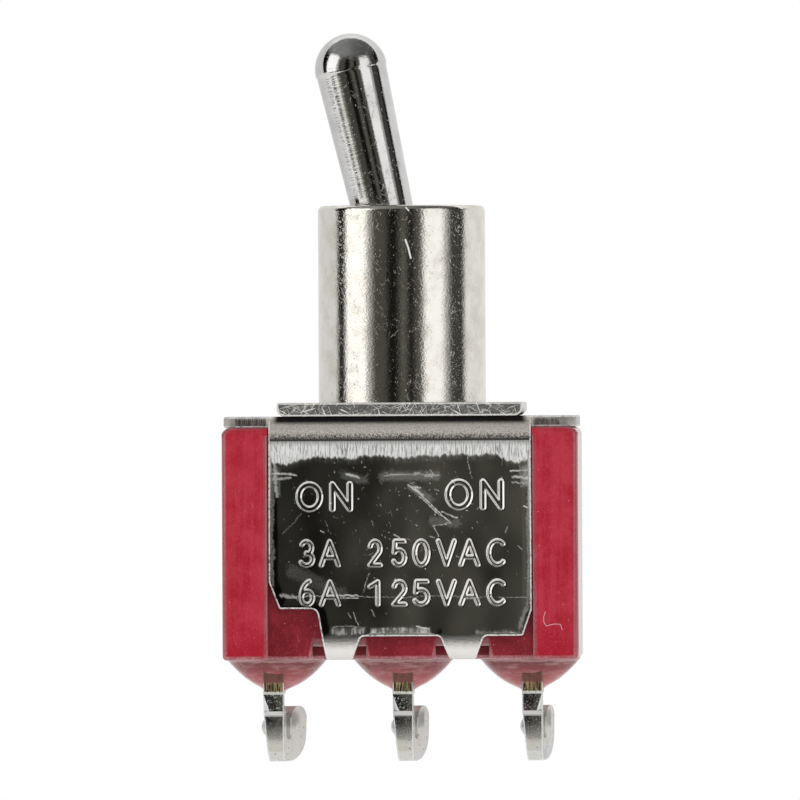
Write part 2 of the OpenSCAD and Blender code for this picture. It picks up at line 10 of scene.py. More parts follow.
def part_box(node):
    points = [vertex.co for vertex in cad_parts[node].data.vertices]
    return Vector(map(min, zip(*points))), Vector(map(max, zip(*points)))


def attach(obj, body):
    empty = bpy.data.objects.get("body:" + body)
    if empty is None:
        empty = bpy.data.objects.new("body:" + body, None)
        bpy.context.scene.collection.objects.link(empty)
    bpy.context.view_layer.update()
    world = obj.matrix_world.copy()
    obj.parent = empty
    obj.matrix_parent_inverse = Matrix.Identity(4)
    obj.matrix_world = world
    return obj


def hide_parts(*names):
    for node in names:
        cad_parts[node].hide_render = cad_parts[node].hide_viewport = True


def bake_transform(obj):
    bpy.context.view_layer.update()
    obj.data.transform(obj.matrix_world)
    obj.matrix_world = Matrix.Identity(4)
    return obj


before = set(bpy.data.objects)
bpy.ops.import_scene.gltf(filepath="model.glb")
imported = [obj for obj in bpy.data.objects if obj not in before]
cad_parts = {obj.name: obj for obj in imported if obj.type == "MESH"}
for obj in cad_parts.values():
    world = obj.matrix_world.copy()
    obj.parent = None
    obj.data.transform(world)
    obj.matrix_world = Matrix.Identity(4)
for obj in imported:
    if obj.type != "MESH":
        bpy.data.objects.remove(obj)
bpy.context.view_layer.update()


# The case is moulded in one piece from red thermoset, open at the top under the frame.
# Its end pillars stand proud of the recesses for the frame's flaps, and its skin is streaked and scuffed.
MM = 0.001


class Value:
    """A shader socket: arithmetic on it adds Math nodes to its finish."""

    def __init__(self, finish, socket):
        self.finish = finish
        self.socket = socket

    def math(self, operation, *others, clamp=False):
        """A Math node on this value and any others, this one first."""
        return self.finish.node("ShaderNodeMath", {"operation": operation, "use_clamp": clamp},
                                dict(enumerate((self, *others))))

    def __add__(self, other):
        return self.math("ADD", other)

    def __sub__(self, other):
        return self.math("SUBTRACT", other)

    def __rsub__(self, other):
        return self.math("MULTIPLY_ADD", -1.0, other)

    def __mul__(self, other):
        return self.math("MULTIPLY", other)

    def __abs__(self):
        return self.math("ABSOLUTE")

    __radd__ = __add__
    __rmul__ = __mul__

    def larger(self, other):
        return self.math("MAXIMUM", other)

    def within(self, low, high, soft):
        """1 where the value lies between two limits, fading over a soft edge."""
        ramp = self.finish.ramp
        return ramp(self, low - soft, low + soft) * ramp(self, high + soft, high - soft)


class Finish:
    """A material for one of the switch's surfaces, with its patterns measured in millimetres."""

    def __init__(self, name, **constants):
        self.material = bpy.data.materials.new(name)
        self.material.use_nodes = True
        self.tree = self.material.node_tree
        self.shader = self.tree.nodes["Principled BSDF"]
        self.place = self.node("ShaderNodeVectorMath", {"operation": "SCALE"}, {
            0: self.node("ShaderNodeTexCoord", {}, {}, "Object"), 3: 1 / MM})
        self.x, self.y, self.z = (
            self.node("ShaderNodeSeparateXYZ", {}, {0: self.place}, axis) for axis in "XYZ")
        self.set(**constants)

    def node(self, kind, settings, sockets, output=0):
        node = self.tree.nodes.new(kind)
        for key, value in settings.items():
            setattr(node, key, value)
        for key, value in sockets.items():
            if isinstance(value, Value):
                self.tree.links.new(value.socket, node.inputs[key])
            else:
                node.inputs[key].default_value = value
        return Value(self, node.outputs[output])

    def set(self, **sockets):
        for key, value in sockets.items():
            socket = self.shader.inputs[key.replace("_", " ")]
            if isinstance(value, Value):
                self.tree.links.new(value.socket, socket)
            else:
                socket.default_value = value

    def stretched(self, sizes, turn=0.0, height=0.0):
        """Places measured in steps of the given sizes, after a turn about Y at a height on the axis."""
        moved = self.node("ShaderNodeVectorMath", {"operation": "SUBTRACT"}, {
            0: self.place, 1: (0, 0, height)})
        tilted = self.node("ShaderNodeMapping", {"vector_type": "POINT"}, {0: moved, 2: (0, turn, 0)})
        return self.node("ShaderNodeVectorMath", {"operation": "DIVIDE"}, {0: tilted, 1: sizes})

    def noise(self, size, detail=2.0, rough=0.5, where=None):
        return self.node("ShaderNodeTexNoise", {}, {
            "Vector": where or self.place, "Scale": 1 / size, "Detail": detail, "Roughness": rough})

    def specks(self, spacing, radius, share):
        """Scattered round specks: a share of the points that stand a spacing apart."""
        sockets = {"Vector": self.place, "Scale": 1 / spacing}
        near = self.node("ShaderNodeTexVoronoi", {}, sockets, "Distance")
        tint = self.node("ShaderNodeTexVoronoi", {}, sockets, "Color")
        pick = self.node("ShaderNodeSeparateColor", {}, {0: tint})
        dot = self.ramp(near, radius / spacing, 0.4 * radius / spacing)
        return dot * self.ramp(pick, 1 - share, 1.01 - share)

    def line(self, points, width):
        """A scratch through points (X, Z) in front view, 1 on its middle and 0 past its width."""
        mask = 0.0
        for (x0, z0), (x1, z1) in zip(points, points[1:]):
            run, rise = x1 - x0, z1 - z0
            dx, dz = self.x - x0, self.z - z0
            along = (dx * run + dz * rise).math("MULTIPLY", 1 / (run * run + rise * rise), clamp=True)
            off_x, off_z = dx - along * run, dz - along * rise
            mask = self.ramp(off_x * off_x + off_z * off_z, width * width, 0.0).larger(mask)
        return mask

    def ramp(self, value, low, high, start=0.0, end=1.0):
        return self.node("ShaderNodeMapRange", {"interpolation_type": "SMOOTHSTEP"}, {
            0: value, 1: low, 2: high, 3: start, 4: end})

    def attribute(self, name):
        return self.node("ShaderNodeAttribute", {"attribute_name": name}, {}, "Fac")

    def mix(self, amount, first, second):
        return self.node("ShaderNodeMix", {"data_type": "RGBA"}, {0: amount, 6: first, 7: second}, 2)

    def bump(self, height, depth_mm, under=None):
        sockets = {"Height": height, "Distance": depth_mm * MM, "Strength": 1.0}
        if under:
            sockets["Normal"] = under
        return self.node("ShaderNodeBump", {}, sockets)


def colour(red, green, blue):
    """An sRGB colour, 0 to 255, as linear light."""
    return tuple(c / 255 / 12.92 if c < 10.3 else ((c / 255 + 0.055) / 1.055) ** 2.4
                 for c in (red, green, blue)) + (1.0,)


WELD_GAP = 2e-7
FLAT_TURN = radians(0.6)
SHARP_TURN = radians(38)


def merged_copy(node):
    """A node's solid as one closed mesh: shared corners, and one face for each plane."""
    shape = bmesh.new()
    shape.from_mesh(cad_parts[node].data)
    bmesh.ops.remove_doubles(shape, verts=shape.verts, dist=WELD_GAP)
    bmesh.ops.dissolve_limit(shape, angle_limit=FLAT_TURN, use_dissolve_boundaries=False,
                             verts=shape.verts, edges=shape.edges, delimit=set())
    return shape


def soften(shape, width, shortest=0.0, segments=3, short_too=None):
    """Rounds and marks a solid's sharp outer edges, short ones only where short_too says so."""
    edges = [e for e in shape.edges if e.is_manifold and e.calc_face_angle_signed() > SHARP_TURN
             and (e.calc_length() > shortest or short_too and short_too(e.verts[0].co))]
    marked = shape.faces.layers.float.new("edge")
    rounded = bmesh.ops.bevel(shape, geom=edges, offset=width, segments=segments, profile=0.5,
                              affect="EDGES", clamp_overlap=False)
    for face in rounded["faces"]:
        face[marked] = 1.0
    bmesh.ops.remove_doubles(shape, verts=shape.verts, dist=WELD_GAP)
    bmesh.ops.dissolve_degenerate(shape, edges=shape.edges, dist=WELD_GAP)
    for edge in shape.edges:
        edge.smooth = not edge.is_manifold or edge.calc_face_angle() < SHARP_TURN


def finished_piece(name, shape, finish, body, slot, *nodes):
    """Makes a shape a piece that rides on a body and hides its nodes, its planes shaded flat."""
    mesh = bpy.data.meshes.new(name)
    shape.to_mesh(mesh)
    shape.free()
    mesh.shade_smooth()
    piece = bpy.data.objects.new(name, mesh)
    bpy.context.collection.objects.link(piece)
    piece.modifiers.new("normals", "WEIGHTED_NORMAL").keep_sharp = True
    shown = piece.evaluated_get(bpy.context.evaluated_depsgraph_get())
    finished = bpy.data.meshes.new_from_object(shown)
    piece.modifiers.clear()
    finished.materials.append(finish.material)
    piece.data = finished
    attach(piece, body)
    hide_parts(*nodes)


CASE_EDGE = 0.15 * MM
CASE_CORNER = 0.5 * MM
CASE_FRONT_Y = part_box("case")[0][1] / MM
CASE_SIDE_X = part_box("case")[1][0] / MM
CASE_RED = colour(167, 8, 36)
CASE_PALE = colour(184, 40, 62)
CASE_DEEP = colour(164, 0, 34)
CASE_RECESS_SHADE = colour(112, 12, 28)
CASE_SCRATCH = ((5.25, -7.6), (5.19, -7.77), (5.19, -7.97), (5.28, -8.11), (5.55, -8.04), (5.79, -8.05),
                (5.85, -8.24))
# Heights where a tone, wear or painted highlight starts and where it is full.
CASE_DEEP_Z = (-6.4, -8.0)
CASE_SCUFFED_Z = (-6.5, -8.6)
CASE_EDGE_HIGHLIGHT_Z = (-8.9, -9.15)


def red_plastic():
    finish = Finish("red_plastic", Coat_Weight=0.8, Coat_Roughness=0.08)
    streaks = finish.noise(1, 4, 0.65, finish.stretched((0.16, 0.3, 3.0)))
    blotches = finish.noise(0.9, 4, 0.65)
    grit = finish.noise(0.09, 3, 0.7)
    face = finish.ramp(abs(finish.y), -CASE_FRONT_Y - 0.3, -CASE_FRONT_Y - 0.15)
    side = finish.ramp(abs(finish.x), CASE_SIDE_X - 0.24, CASE_SIDE_X - 0.08)
    outer = face.larger(side)
    front = finish.ramp(finish.y, CASE_FRONT_Y + 0.06, CASE_FRONT_Y + 0.03)
    curl = finish.line(CASE_SCRATCH, 0.018) * front
    dust = finish.specks(0.28, 0.03, 0.18)
    scuffs = finish.ramp(finish.noise(1, 4, 0.7, finish.stretched((0.045, 0.05, 0.4))), 0.63, 0.72)
    tone = finish.ramp(streaks * 0.45 + blotches * 0.55, 0.36, 0.6)
    base = finish.mix(tone, CASE_RED, CASE_PALE)
    base = finish.mix(finish.ramp(finish.z + blotches * 2, *CASE_DEEP_Z) * 0.9, base, CASE_DEEP)
    # Painted shade: faces set back from the outer front, back and sides, such as the recesses, are a darker
    # red.
    recess_shade = finish.mix(finish.ramp(blotches, 0.3, 0.7), CASE_RECESS_SHADE, colour(140, 26, 42))
    base = finish.mix(outer, recess_shade, base)
    base = finish.mix(finish.ramp(grit, 0.5, 0.75) * 0.26, base, colour(210, 96, 110))
    low = finish.ramp(finish.z, *CASE_SCUFFED_Z)
    base = finish.mix(scuffs * (0.25 + low * 0.3), base, colour(214, 120, 130))
    base = finish.mix(dust * 0.55, base, colour(230, 165, 170))
    base = finish.mix(curl * 0.7, base, colour(240, 196, 198))
    # Painted sheen: the rounded edges are a duller, paler red, with patchy painted highlights that grow
    # towards the bottom.
    edge = finish.attribute("edge").larger(side * face)
    base = finish.mix(edge * (0.5 + finish.ramp(blotches, 0.35, 0.6) * 0.3), base, colour(142, 66, 72))
    worn = edge * finish.ramp(grit + blotches * 0.5, 0.62, 0.95)
    worn = worn * (0.1 + finish.ramp(finish.z, *CASE_EDGE_HIGHLIGHT_Z) * 0.2)
    base = finish.mix(worn, base, colour(232, 168, 174))
    skin = finish.bump(finish.noise(0.07, 3) + finish.noise(0.6, 2) * 2, 0.004)
    finish.set(Base_Color=base, Roughness=0.26 + blotches * 0.16 + scuffs * 0.1,
               Normal=finish.bump(dust + curl, 0.01, skin))
    return finish


def at_case_corner(point):
    """Whether a point lies on one of the case's four rounded uprights."""
    return (abs(point.x) > CASE_SIDE_X * MM - CASE_CORNER
            and abs(point.y) > -CASE_FRONT_Y * MM - CASE_CORNER)


# Edges shorter than this many times the rounding stay sharp.
SHORT_EDGE = 2.5
case_shape = merged_copy("case")
soften(case_shape, CASE_EDGE, SHORT_EDGE * CASE_EDGE, short_too=at_case_corner)
finished_piece("moulded_case", case_shape, red_plastic(), "housing", "case_red", "case")


# Three lugs are stamped from copper alloy, tin plated and pushed through the floor of the case.
# Below it each has a plain shank, a stepped neck and a hook turned out of line, with a bare metal root.
LUG_PITCH = 4.7
LUG_X = {"left": -LUG_PITCH, "common": 0.0, "right": LUG_PITCH}
LUG_EDGE = 0.048 * MM
SHANK_END_Z = -10.6
HOOK_TOP_Z = -11.2
# Where the painted shade by each hook is darkest: aside from the lug's middle, and in height.
SLOT_SHADE_X = 0.6
SLOT_SHADE_Z = -11.5
# Limits of a film, a painted highlight or a painted shade.
RESIN_FILM_Z = (-10.12, -9.1)
MENISCUS_HIGHLIGHT_Z = (-9.68, -9.6)
SHOULDER_HIGHLIGHT_Z = (HOOK_TOP_Z - 0.15, HOOK_TOP_Z - 0.01)
SLOT_SHADE_Y = (-0.65, 0.6)
# Heights and depths where a tone or wear starts and where it is full.
BARE_ROOT_Z = (SHANK_END_Z + 0.08, SHANK_END_Z + 0.14)
HOOK_FRONT_Y = (-0.76, -0.8)
HOOK_WORN_Z = (-11.1, -11.9)
HOOK_INNER_Y = (-0.6, -0.54)
HOOK_INNER_Z = (-10.8, -10.86)


def tin_plate():
    finish = Finish("tin_plate")
    grain = finish.noise(1, 4, 0.6, finish.stretched((0.05, 0.05, 0.7)))
    mottle = finish.noise(0.2, 4, 0.6)
    fine = finish.noise(0.07, 3, 0.7)
    bare = finish.ramp(finish.z + mottle * 0.1, *BARE_ROOT_Z)
    film = (finish.z + mottle * 0.14).within(*RESIN_FILM_Z, 0.06)
    gold = finish.ramp(grain, 0.42, 0.58)
    front = finish.ramp(finish.y, *HOOK_FRONT_Y)
    base = finish.mix(mottle, colour(194, 193, 188), colour(226, 225, 220))
    worn = finish.ramp(finish.z + fine * 0.9, *HOOK_WORN_Z) * front
    base = finish.mix(worn, base, colour(196, 194, 185))
    # Painted shade: a soft dark patch beside each hook, where its slot is.
    aside = finish.x.math("WRAP", LUG_PITCH / 2, -LUG_PITCH / 2) - SLOT_SHADE_X
    below = finish.z - SLOT_SHADE_Z
    slot_shade = finish.ramp(aside * aside * 1.2 + below * below + mottle * 0.05, 0.2, 0.02)
    slot_shade = slot_shade * finish.y.within(*SLOT_SHADE_Y, 0.05)
    base = finish.mix(slot_shade * 0.75, base, colour(112, 111, 108))
    inner = finish.ramp(finish.z, *HOOK_INNER_Z) * finish.ramp(finish.y, *HOOK_INNER_Y)
    rubbed = finish.ramp(fine + grain * 0.4, 0.76, 0.9) * front
    rubbed = rubbed * finish.z.within(HOOK_TOP_Z, SHANK_END_Z, 0.02)
    base = finish.mix(rubbed * 0.7, base, colour(250, 250, 250))
    base = finish.mix(bare, base, finish.mix(gold, colour(84, 70, 52), colour(236, 214, 166)))
    base = finish.mix(film, base, finish.mix(mottle, colour(104, 66, 60), colour(148, 104, 96)))
    # Painted highlight along the top of the resin film.
    meniscus_highlight = finish.z.within(*MENISCUS_HIGHLIGHT_Z, 0.02) * finish.ramp(mottle, 0.4, 0.5)
    base = finish.mix(meniscus_highlight * 0.8, base, colour(244, 214, 208))
    # Painted highlight on the hook's shoulder and, weaker, on the lug's rounded edges.
    shoulder = finish.z.within(*SHOULDER_HIGHLIGHT_Z, 0.012) * front
    bright = shoulder.larger(finish.attribute("edge") * 0.45)
    base = finish.mix(bright * (1 - film), base, colour(238, 247, 245))
    pits = finish.specks(0.14, 0.045, 0.4) * finish.ramp(finish.noise(0.5, 2), 0.42, 0.54)
    base = finish.mix(pits * 0.75, base, colour(60, 52, 46))
    skin = finish.bump(grain, 0.0015, finish.bump(finish.ramp(fine, 0.5, 0.8), 0.0048))
    metal = 1 - film * 0.8 - bright * 0.85 - worn * 0.4
    metal = metal - inner * 0.75 - bare * gold * 0.3 - rubbed * 0.5
    finish.set(Base_Color=base, Metallic=metal, Normal=skin,
               Roughness=0.13 + mottle * 0.12 - film * 0.04 + worn * 0.1)
    return finish


lug_finish = tin_plate()
for lug in LUG_X:
    lug_shape = merged_copy(lug + "_terminal")
    soften(lug_shape, LUG_EDGE, SHORT_EDGE * LUG_EDGE)
    finished_piece(lug + "_lug", lug_shape, lug_finish, "housing", "lug_tin", lug + "_terminal")


# Silver contacts are riveted on the end terminals' feet and under the ends of the rocker.
# The rocker is a bent strip of copper alloy that rests on the rounded top of the common terminal.
def inner_metal(name, tint, shade, rough):
    finish = Finish(name, Metallic=1.0)
    rolled = finish.noise(1, 3, 0.6, finish.stretched((0.6, 0.04, 0.6)))
    stain = finish.noise(0.7, 4, 0.6)
    finish.set(Base_Color=finish.mix(finish.ramp(stain, 0.4, 0.7), tint, shade),
               Roughness=rough + rolled * 0.2, Normal=finish.bump(rolled, 0.004))
    return finish


def refinish(finish, *nodes):
    """Gives CAD nodes that stay in place a better material."""
    for node in nodes:
        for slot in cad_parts[node].material_slots:
            slot.material = finish.material


refinish(inner_metal("contact_silver", colour(232, 230, 226), colour(196, 190, 178), 0.2),
         "left_contact", "right_contact", "rocker_left_contact", "rocker_right_contact")
refinish(inner_metal("rocker_alloy", colour(206, 168, 104), colour(170, 126, 76), 0.25), "rocker")


# Resin is dropped round each lug where it leaves the case, and sets as a glossy, cloudy drop.
# It is tinted like the case, lets a little light through, and creeps a short way down the lug.
LUG_THICKNESS = 0.75
LUG_WIDTH = 2.0
SEAL_X = {"left": -4.6, "common": 0.0, "right": 4.6}
SEAL_HALF_WIDTH = 1.83
SEAL_HALF_DEPTH = 1.28
SEAL_DROP = 1.12
SEAL_CREEP = 0.09
SEAL_CREEP_REACH = 0.1
SEAL_RINGS = 36
SEAL_SIDES = 120
SEAL_REFLECTION_Z = (-9.15, -10.1)
SEAL_RIM_HIGHLIGHT_Z = (-9.36, -9.3)


def resin_drop(lug):
    """A drop with a parabolic outline, drawn down where it wets its lug, and a plug in the case's well."""
    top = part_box(lug + "_seal")[1][2] / MM
    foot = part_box("case")[0][2] / MM
    shape = bmesh.new()
    rings = []
    for step in np.linspace(1, 0, SEAL_RINGS)[:-1]:
        ring_verts = []
        for side in range(SEAL_SIDES):
            turn = 2 * pi * side / SEAL_SIDES
            x = SEAL_X[lug] + SEAL_HALF_WIDTH * step * cos(turn)
            y = SEAL_HALF_DEPTH * step * sin(turn)
            clear = np.hypot(max(abs(x - LUG_X[lug]) - LUG_THICKNESS / 2, 0),
                             max(abs(y) - LUG_WIDTH / 2, 0))
            drop = SEAL_DROP * (1 - step ** 2) + SEAL_CREEP * np.exp(-clear / SEAL_CREEP_REACH)
            ring_verts.append(shape.verts.new((x * MM, y * MM, (foot - drop) * MM)))
        rings.append(ring_verts)
    plug = [shape.verts.new((v.co.x, v.co.y, top * MM)) for v in rings[0]]
    for outer, inner in zip([plug] + rings, rings):
        for side in range(SEAL_SIDES):
            after = (side + 1) % SEAL_SIDES
            shape.faces.new((outer[side], inner[side], inner[after], outer[after]))
    shape.faces.new(rings[-1])
    shape.faces.new(plug)
    bmesh.ops.recalc_face_normals(shape, faces=shape.faces)
    return shape


def cast_resin():
    finish = Finish("cast_resin", Transmission_Weight=0.3, IOR=1.5, Coat_Weight=0.7, Coat_Roughness=0.04)
    cloud = finish.noise(0.55, 4, 0.65)
    # Painted reflection: the drop pales towards its bottom, which faces the white floor, and is deep red at
    # its top.
    low = finish.ramp(finish.z + cloud * 0.5, *SEAL_REFLECTION_Z)
    base = finish.mix(low, colour(140, 8, 28), colour(214, 84, 90))
    wisps = finish.noise(1, 4, 0.65, finish.stretched((0.9, 0.9, 0.2)))
    base = finish.mix(finish.ramp(wisps, 0.45, 0.7) * 0.42, base, colour(240, 190, 188))
    base = finish.mix(finish.ramp(wisps + cloud * 0.3, 0.6, 0.42) * 0.35, base, colour(112, 16, 28))
    # Painted highlight: a pale line along the top of the drop, under the case's bottom edge.
    base = finish.mix(finish.ramp(finish.z + cloud * 0.2, *SEAL_RIM_HIGHLIGHT_Z) * 0.5, base, colour(238, 196, 192))
    base = finish.mix(finish.specks(0.3, 0.03, 0.3) * 0.6, base, colour(242, 212, 210))
    finish.set(Base_Color=base, Roughness=0.1 + cloud * 0.14,
               Normal=finish.bump(finish.noise(0.4, 3), 0.03))
    return finish


seal_finish = cast_resin()
for lug in SEAL_X:
    finished_piece(lug + "_resin_seal", resin_drop(lug), seal_finish, "housing", "seal_resin", lug + "_seal")


# The lever is turned from brass and chrome plated: ball tip, tapered stem, pivot ball and hollow tail.
# It hangs by a cross pin and leans to the left at rest; fine marks run round it and scratches cross it.
LEVER_LEAN = radians(12.4)
PIVOT_HEIGHT = 3.9
LEVER_REACH = 9.72
TIP_R = 1.32
STEM_TIP_R = 1.298
STEM_ROOT_R = 1.06
BALL_R = 1.75
TAIL_R = 1.15
TAIL_LENGTH = 7.3
TAIL_CHAMFER = 0.05
BORE_R = 0.69
BORE_TOP = 2.2
NECK_LOW, NECK_HIGH = 0.09, 0.03
NECK_IN = 0.012
NECK_ANGLE = 0.6
BALL_STEPS = 28
STEM_STEPS = 80
TIP_STEPS = 40
LATHE_SIDES = 160
CHROME_MARKS = (1.2, 1.2, 0.045)
SCRATCH_SIZES = (0.05, 0.1, 0.22)
SCRATCH_TURNS = (0.7, -0.6)
ON_LEVER = Matrix.Translation((0, 0, PIVOT_HEIGHT * MM)) @ Matrix.Rotation(-LEVER_LEAN, 4, "Y")


def arc(centre, r, start, end, steps):
    """Points (r, height) on an arc about a point of the axis; angles in degrees from straight out."""
    return [(r * cos(radians(a)), centre + r * sin(radians(a))) for a in np.linspace(start, end, steps)]


def turned(profile, place):
    """A solid of revolution about the axis; its profile starts and ends there."""
    shape = bmesh.new()
    outline = [shape.verts.new((r * MM, 0, h * MM)) for r, h in profile]
    edges = [shape.edges.new(pair) for pair in zip(outline, outline[1:])]
    bmesh.ops.spin(shape, geom=outline + edges, cent=(0, 0, 0), axis=(0, 0, 1), angle=2 * pi,
                   steps=LATHE_SIDES, use_merge=True)
    bmesh.ops.remove_doubles(shape, verts=shape.verts, dist=WELD_GAP)
    bmesh.ops.recalc_face_normals(shape, faces=shape.faces)
    bmesh.ops.transform(shape, matrix=place, verts=shape.verts)
    return shape


def plated(name, tint, shade, rough, sizes, depth, turn=0.0, height=0.0, barrel_r=None):
    """A bright plate over turned metal: marks that run round it, scratches, pits, and a faint stain."""
    finish = Finish(name)
    round_marks = finish.noise(1, 2, 0.55, finish.stretched(sizes, turn, height))
    if barrel_r:
        from_axis = finish.x * finish.x + finish.y * finish.y
        round_marks = round_marks * from_axis.within((barrel_r - 0.05) ** 2, (barrel_r + 0.05) ** 2, 0.1)
    rising, falling = (finish.noise(1, 3, 0.6, finish.stretched(SCRATCH_SIZES, turn + slant, height))
                       for slant in SCRATCH_TURNS)
    stain = finish.noise(0.8, 4, 0.6)
    scratches = finish.ramp(rising.larger(falling) + stain * 0.4, 0.86, 0.94)
    pits = finish.specks(0.2, 0.026, 0.4)
    finish.tone = finish.mix(finish.ramp(stain, 0.35, 0.7), tint, shade)
    finish.dull = pits * 0.35 + scratches * 0.08
    finish.rough = rough + stain * 0.04 + pits * 0.2
    finish.relief = finish.bump(pits + scratches, 0.0025, finish.bump(round_marks, depth))
    finish.set(Base_Color=finish.tone, Metallic=1 - finish.dull, Roughness=finish.rough, Normal=finish.relief)
    return finish


tip_centre = LEVER_REACH - TIP_R
tail_join = np.degrees(np.arccos(TAIL_R / BALL_R))
stem_join = np.degrees(np.arccos(STEM_ROOT_R / BALL_R))
stem_foot = BALL_R * sin(radians(stem_join))
lever_profile = (
    [(0, -BORE_TOP), (BORE_R, -BORE_TOP), (BORE_R, -TAIL_LENGTH),
     (TAIL_R - TAIL_CHAMFER, -TAIL_LENGTH), (TAIL_R, -TAIL_LENGTH + TAIL_CHAMFER)]
    + arc(0, BALL_R, -tail_join, stem_join, BALL_STEPS)
    + list(zip(np.linspace(STEM_ROOT_R, STEM_TIP_R - NECK_IN, STEM_STEPS)[1:],
               np.linspace(stem_foot, tip_centre - NECK_LOW, STEM_STEPS)[1:]))
    + [(STEM_TIP_R, tip_centre - NECK_HIGH)]
    + arc(tip_centre, TIP_R, NECK_ANGLE, 90, TIP_STEPS))
lever_profile[-1] = (0, LEVER_REACH)
lever_finish = plated("lever_chrome", colour(214, 213, 212), colour(200, 199, 198), rough=0.05,
                      sizes=CHROME_MARKS, depth=0.006, turn=LEVER_LEAN, height=PIVOT_HEIGHT)
finished_piece("chromed_lever", turned(lever_profile, ON_LEVER), lever_finish,
               "lever", "lever_chrome", "toggle_lever")


# Inside the tail a coiled steel spring presses a nylon plunger on the rocker.
# The lever hangs on a plain steel cross pin whose ends lie in slots in the bushing.
SPRING_WIRE_R = 0.1
SPRING_TURNS = 7
SPRING_R = 0.55
STEPS_PER_TURN = 28
WIRE_SIDES = 10


def coil_tree(finish):
    """Geometry Nodes: a wire of a given radius swept along a helix."""
    tree = bpy.data.node_groups.new("coil_spring", "GeometryNodeTree")
    tree.interface.new_socket("Geometry", in_out="OUTPUT", socket_type="NodeSocketGeometry")
    inputs = {name: tree.interface.new_socket(name, in_out="INPUT", socket_type="NodeSocketFloat").identifier
              for name in ("Coil Radius", "Wire Radius", "Height", "Turns")}
    entry = tree.nodes.new("NodeGroupInput")
    helix = tree.nodes.new("GeometryNodeCurveSpiral")
    helix.inputs["Resolution"].default_value = STEPS_PER_TURN
    wire = tree.nodes.new("GeometryNodeCurvePrimitiveCircle")
    wire.inputs["Resolution"].default_value = WIRE_SIDES
    sweep = tree.nodes.new("GeometryNodeCurveToMesh")
    sweep.inputs["Fill Caps"].default_value = True
    whole = tree.nodes.new("GeometryNodeRealizeInstances")
    dress = tree.nodes.new("GeometryNodeSetMaterial")
    dress.inputs["Material"].default_value = finish.material
    leave = tree.nodes.new("NodeGroupOutput")
    for source, target in (
            (entry.outputs["Coil Radius"], helix.inputs["Start Radius"]),
            (entry.outputs["Coil Radius"], helix.inputs["End Radius"]),
            (entry.outputs["Height"], helix.inputs["Height"]),
            (entry.outputs["Turns"], helix.inputs["Rotations"]),
            (entry.outputs["Wire Radius"], wire.inputs["Radius"]),
            (helix.outputs["Curve"], sweep.inputs["Curve"]),
            (wire.outputs["Curve"], sweep.inputs["Profile Curve"]),
            (sweep.outputs["Mesh"], whole.inputs["Geometry"]),
            (whole.outputs["Geometry"], dress.inputs["Geometry"]),
            (dress.outputs["Geometry"], leave.inputs["Geometry"])):
        tree.links.new(source, target)
    return tree, inputs


spring_finish = inner_metal("spring_steel", colour(150, 150, 154), colour(112, 112, 118), 0.25)
spring_tree, spring_inputs = coil_tree(spring_finish)
spring_low, spring_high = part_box("plunger_spring")
spring_slant = 2 * (SPRING_R + SPRING_WIRE_R) * MM * sin(LEVER_LEAN)
spring_span = (spring_high[2] - spring_low[2]) / cos(LEVER_LEAN) - spring_slant
spring_mid = (Vector(spring_low) + Vector(spring_high)) / 2
spring_piece = bpy.data.objects.new("coil_spring", bpy.data.meshes.new("coil_spring"))
bpy.context.collection.objects.link(spring_piece)
coil = spring_piece.modifiers.new("coil", "NODES")
coil.node_group = spring_tree
for spring_size, amount in (("Coil Radius", SPRING_R * MM), ("Wire Radius", SPRING_WIRE_R * MM),
                            ("Height", spring_span - 2 * SPRING_WIRE_R * MM), ("Turns", SPRING_TURNS)):
    coil[spring_inputs[spring_size]] = amount
wound = spring_piece.evaluated_get(bpy.context.evaluated_depsgraph_get())
spring_mesh = bpy.data.meshes.new_from_object(wound)
spring_piece.modifiers.clear()
spring_mesh.transform(Matrix.Translation(spring_mid) @ Matrix.Rotation(-LEVER_LEAN, 4, "Y")
                      @ Matrix.Translation((0, 0, SPRING_WIRE_R * MM - spring_span / 2)))
spring_mesh.shade_smooth()
spring_piece.data = spring_mesh
spring_reach = (spring_span / 2 - 3 * SPRING_WIRE_R * MM) * Vector((-sin(LEVER_LEAN), 0, cos(LEVER_LEAN)))
spring_mid + spring_reach
spring_mid - spring_reach
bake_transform(spring_piece)
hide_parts("plunger_spring")

refinish(spring_finish, "pivot_pin")
nylon = Finish("natural_nylon", Subsurface_Weight=0.1)
nylon.set(Base_Color=nylon.mix(nylon.noise(0.6, 3), colour(232, 229, 214), colour(216, 211, 192)),
          Roughness=0.4 + nylon.noise(0.1, 3) * 0.15, Normal=nylon.bump(nylon.noise(0.05, 2), 0.003))
refinish(nylon, "plunger")


# The bushing is cast in one piece with its rectangular flange, turned and nickel plated.
# The plate is warm and pitted, with fine marks round the barrel and a scratched flange.
BUSHING_EDGE = 0.07 * MM
FLANGE_Z = (0.02, -0.02)
BARREL_R = 3.04
BARREL_FRONT_Y = (-1.5, -2.0)
BARREL_MARKS = (0.085, 0.085, 0.04)
FLANGE_STROKES = (0.036, 0.3, 0.6)
STROKE_TURNS = (0.35, -0.6, 1.1, -1.3)
LONG_SCRATCH = ((0.24, 5.88), (0.34, 5.6), (0.43, 5.22))
RIM_NICK = ((0.26, 7.05), (0.36, 6.94))


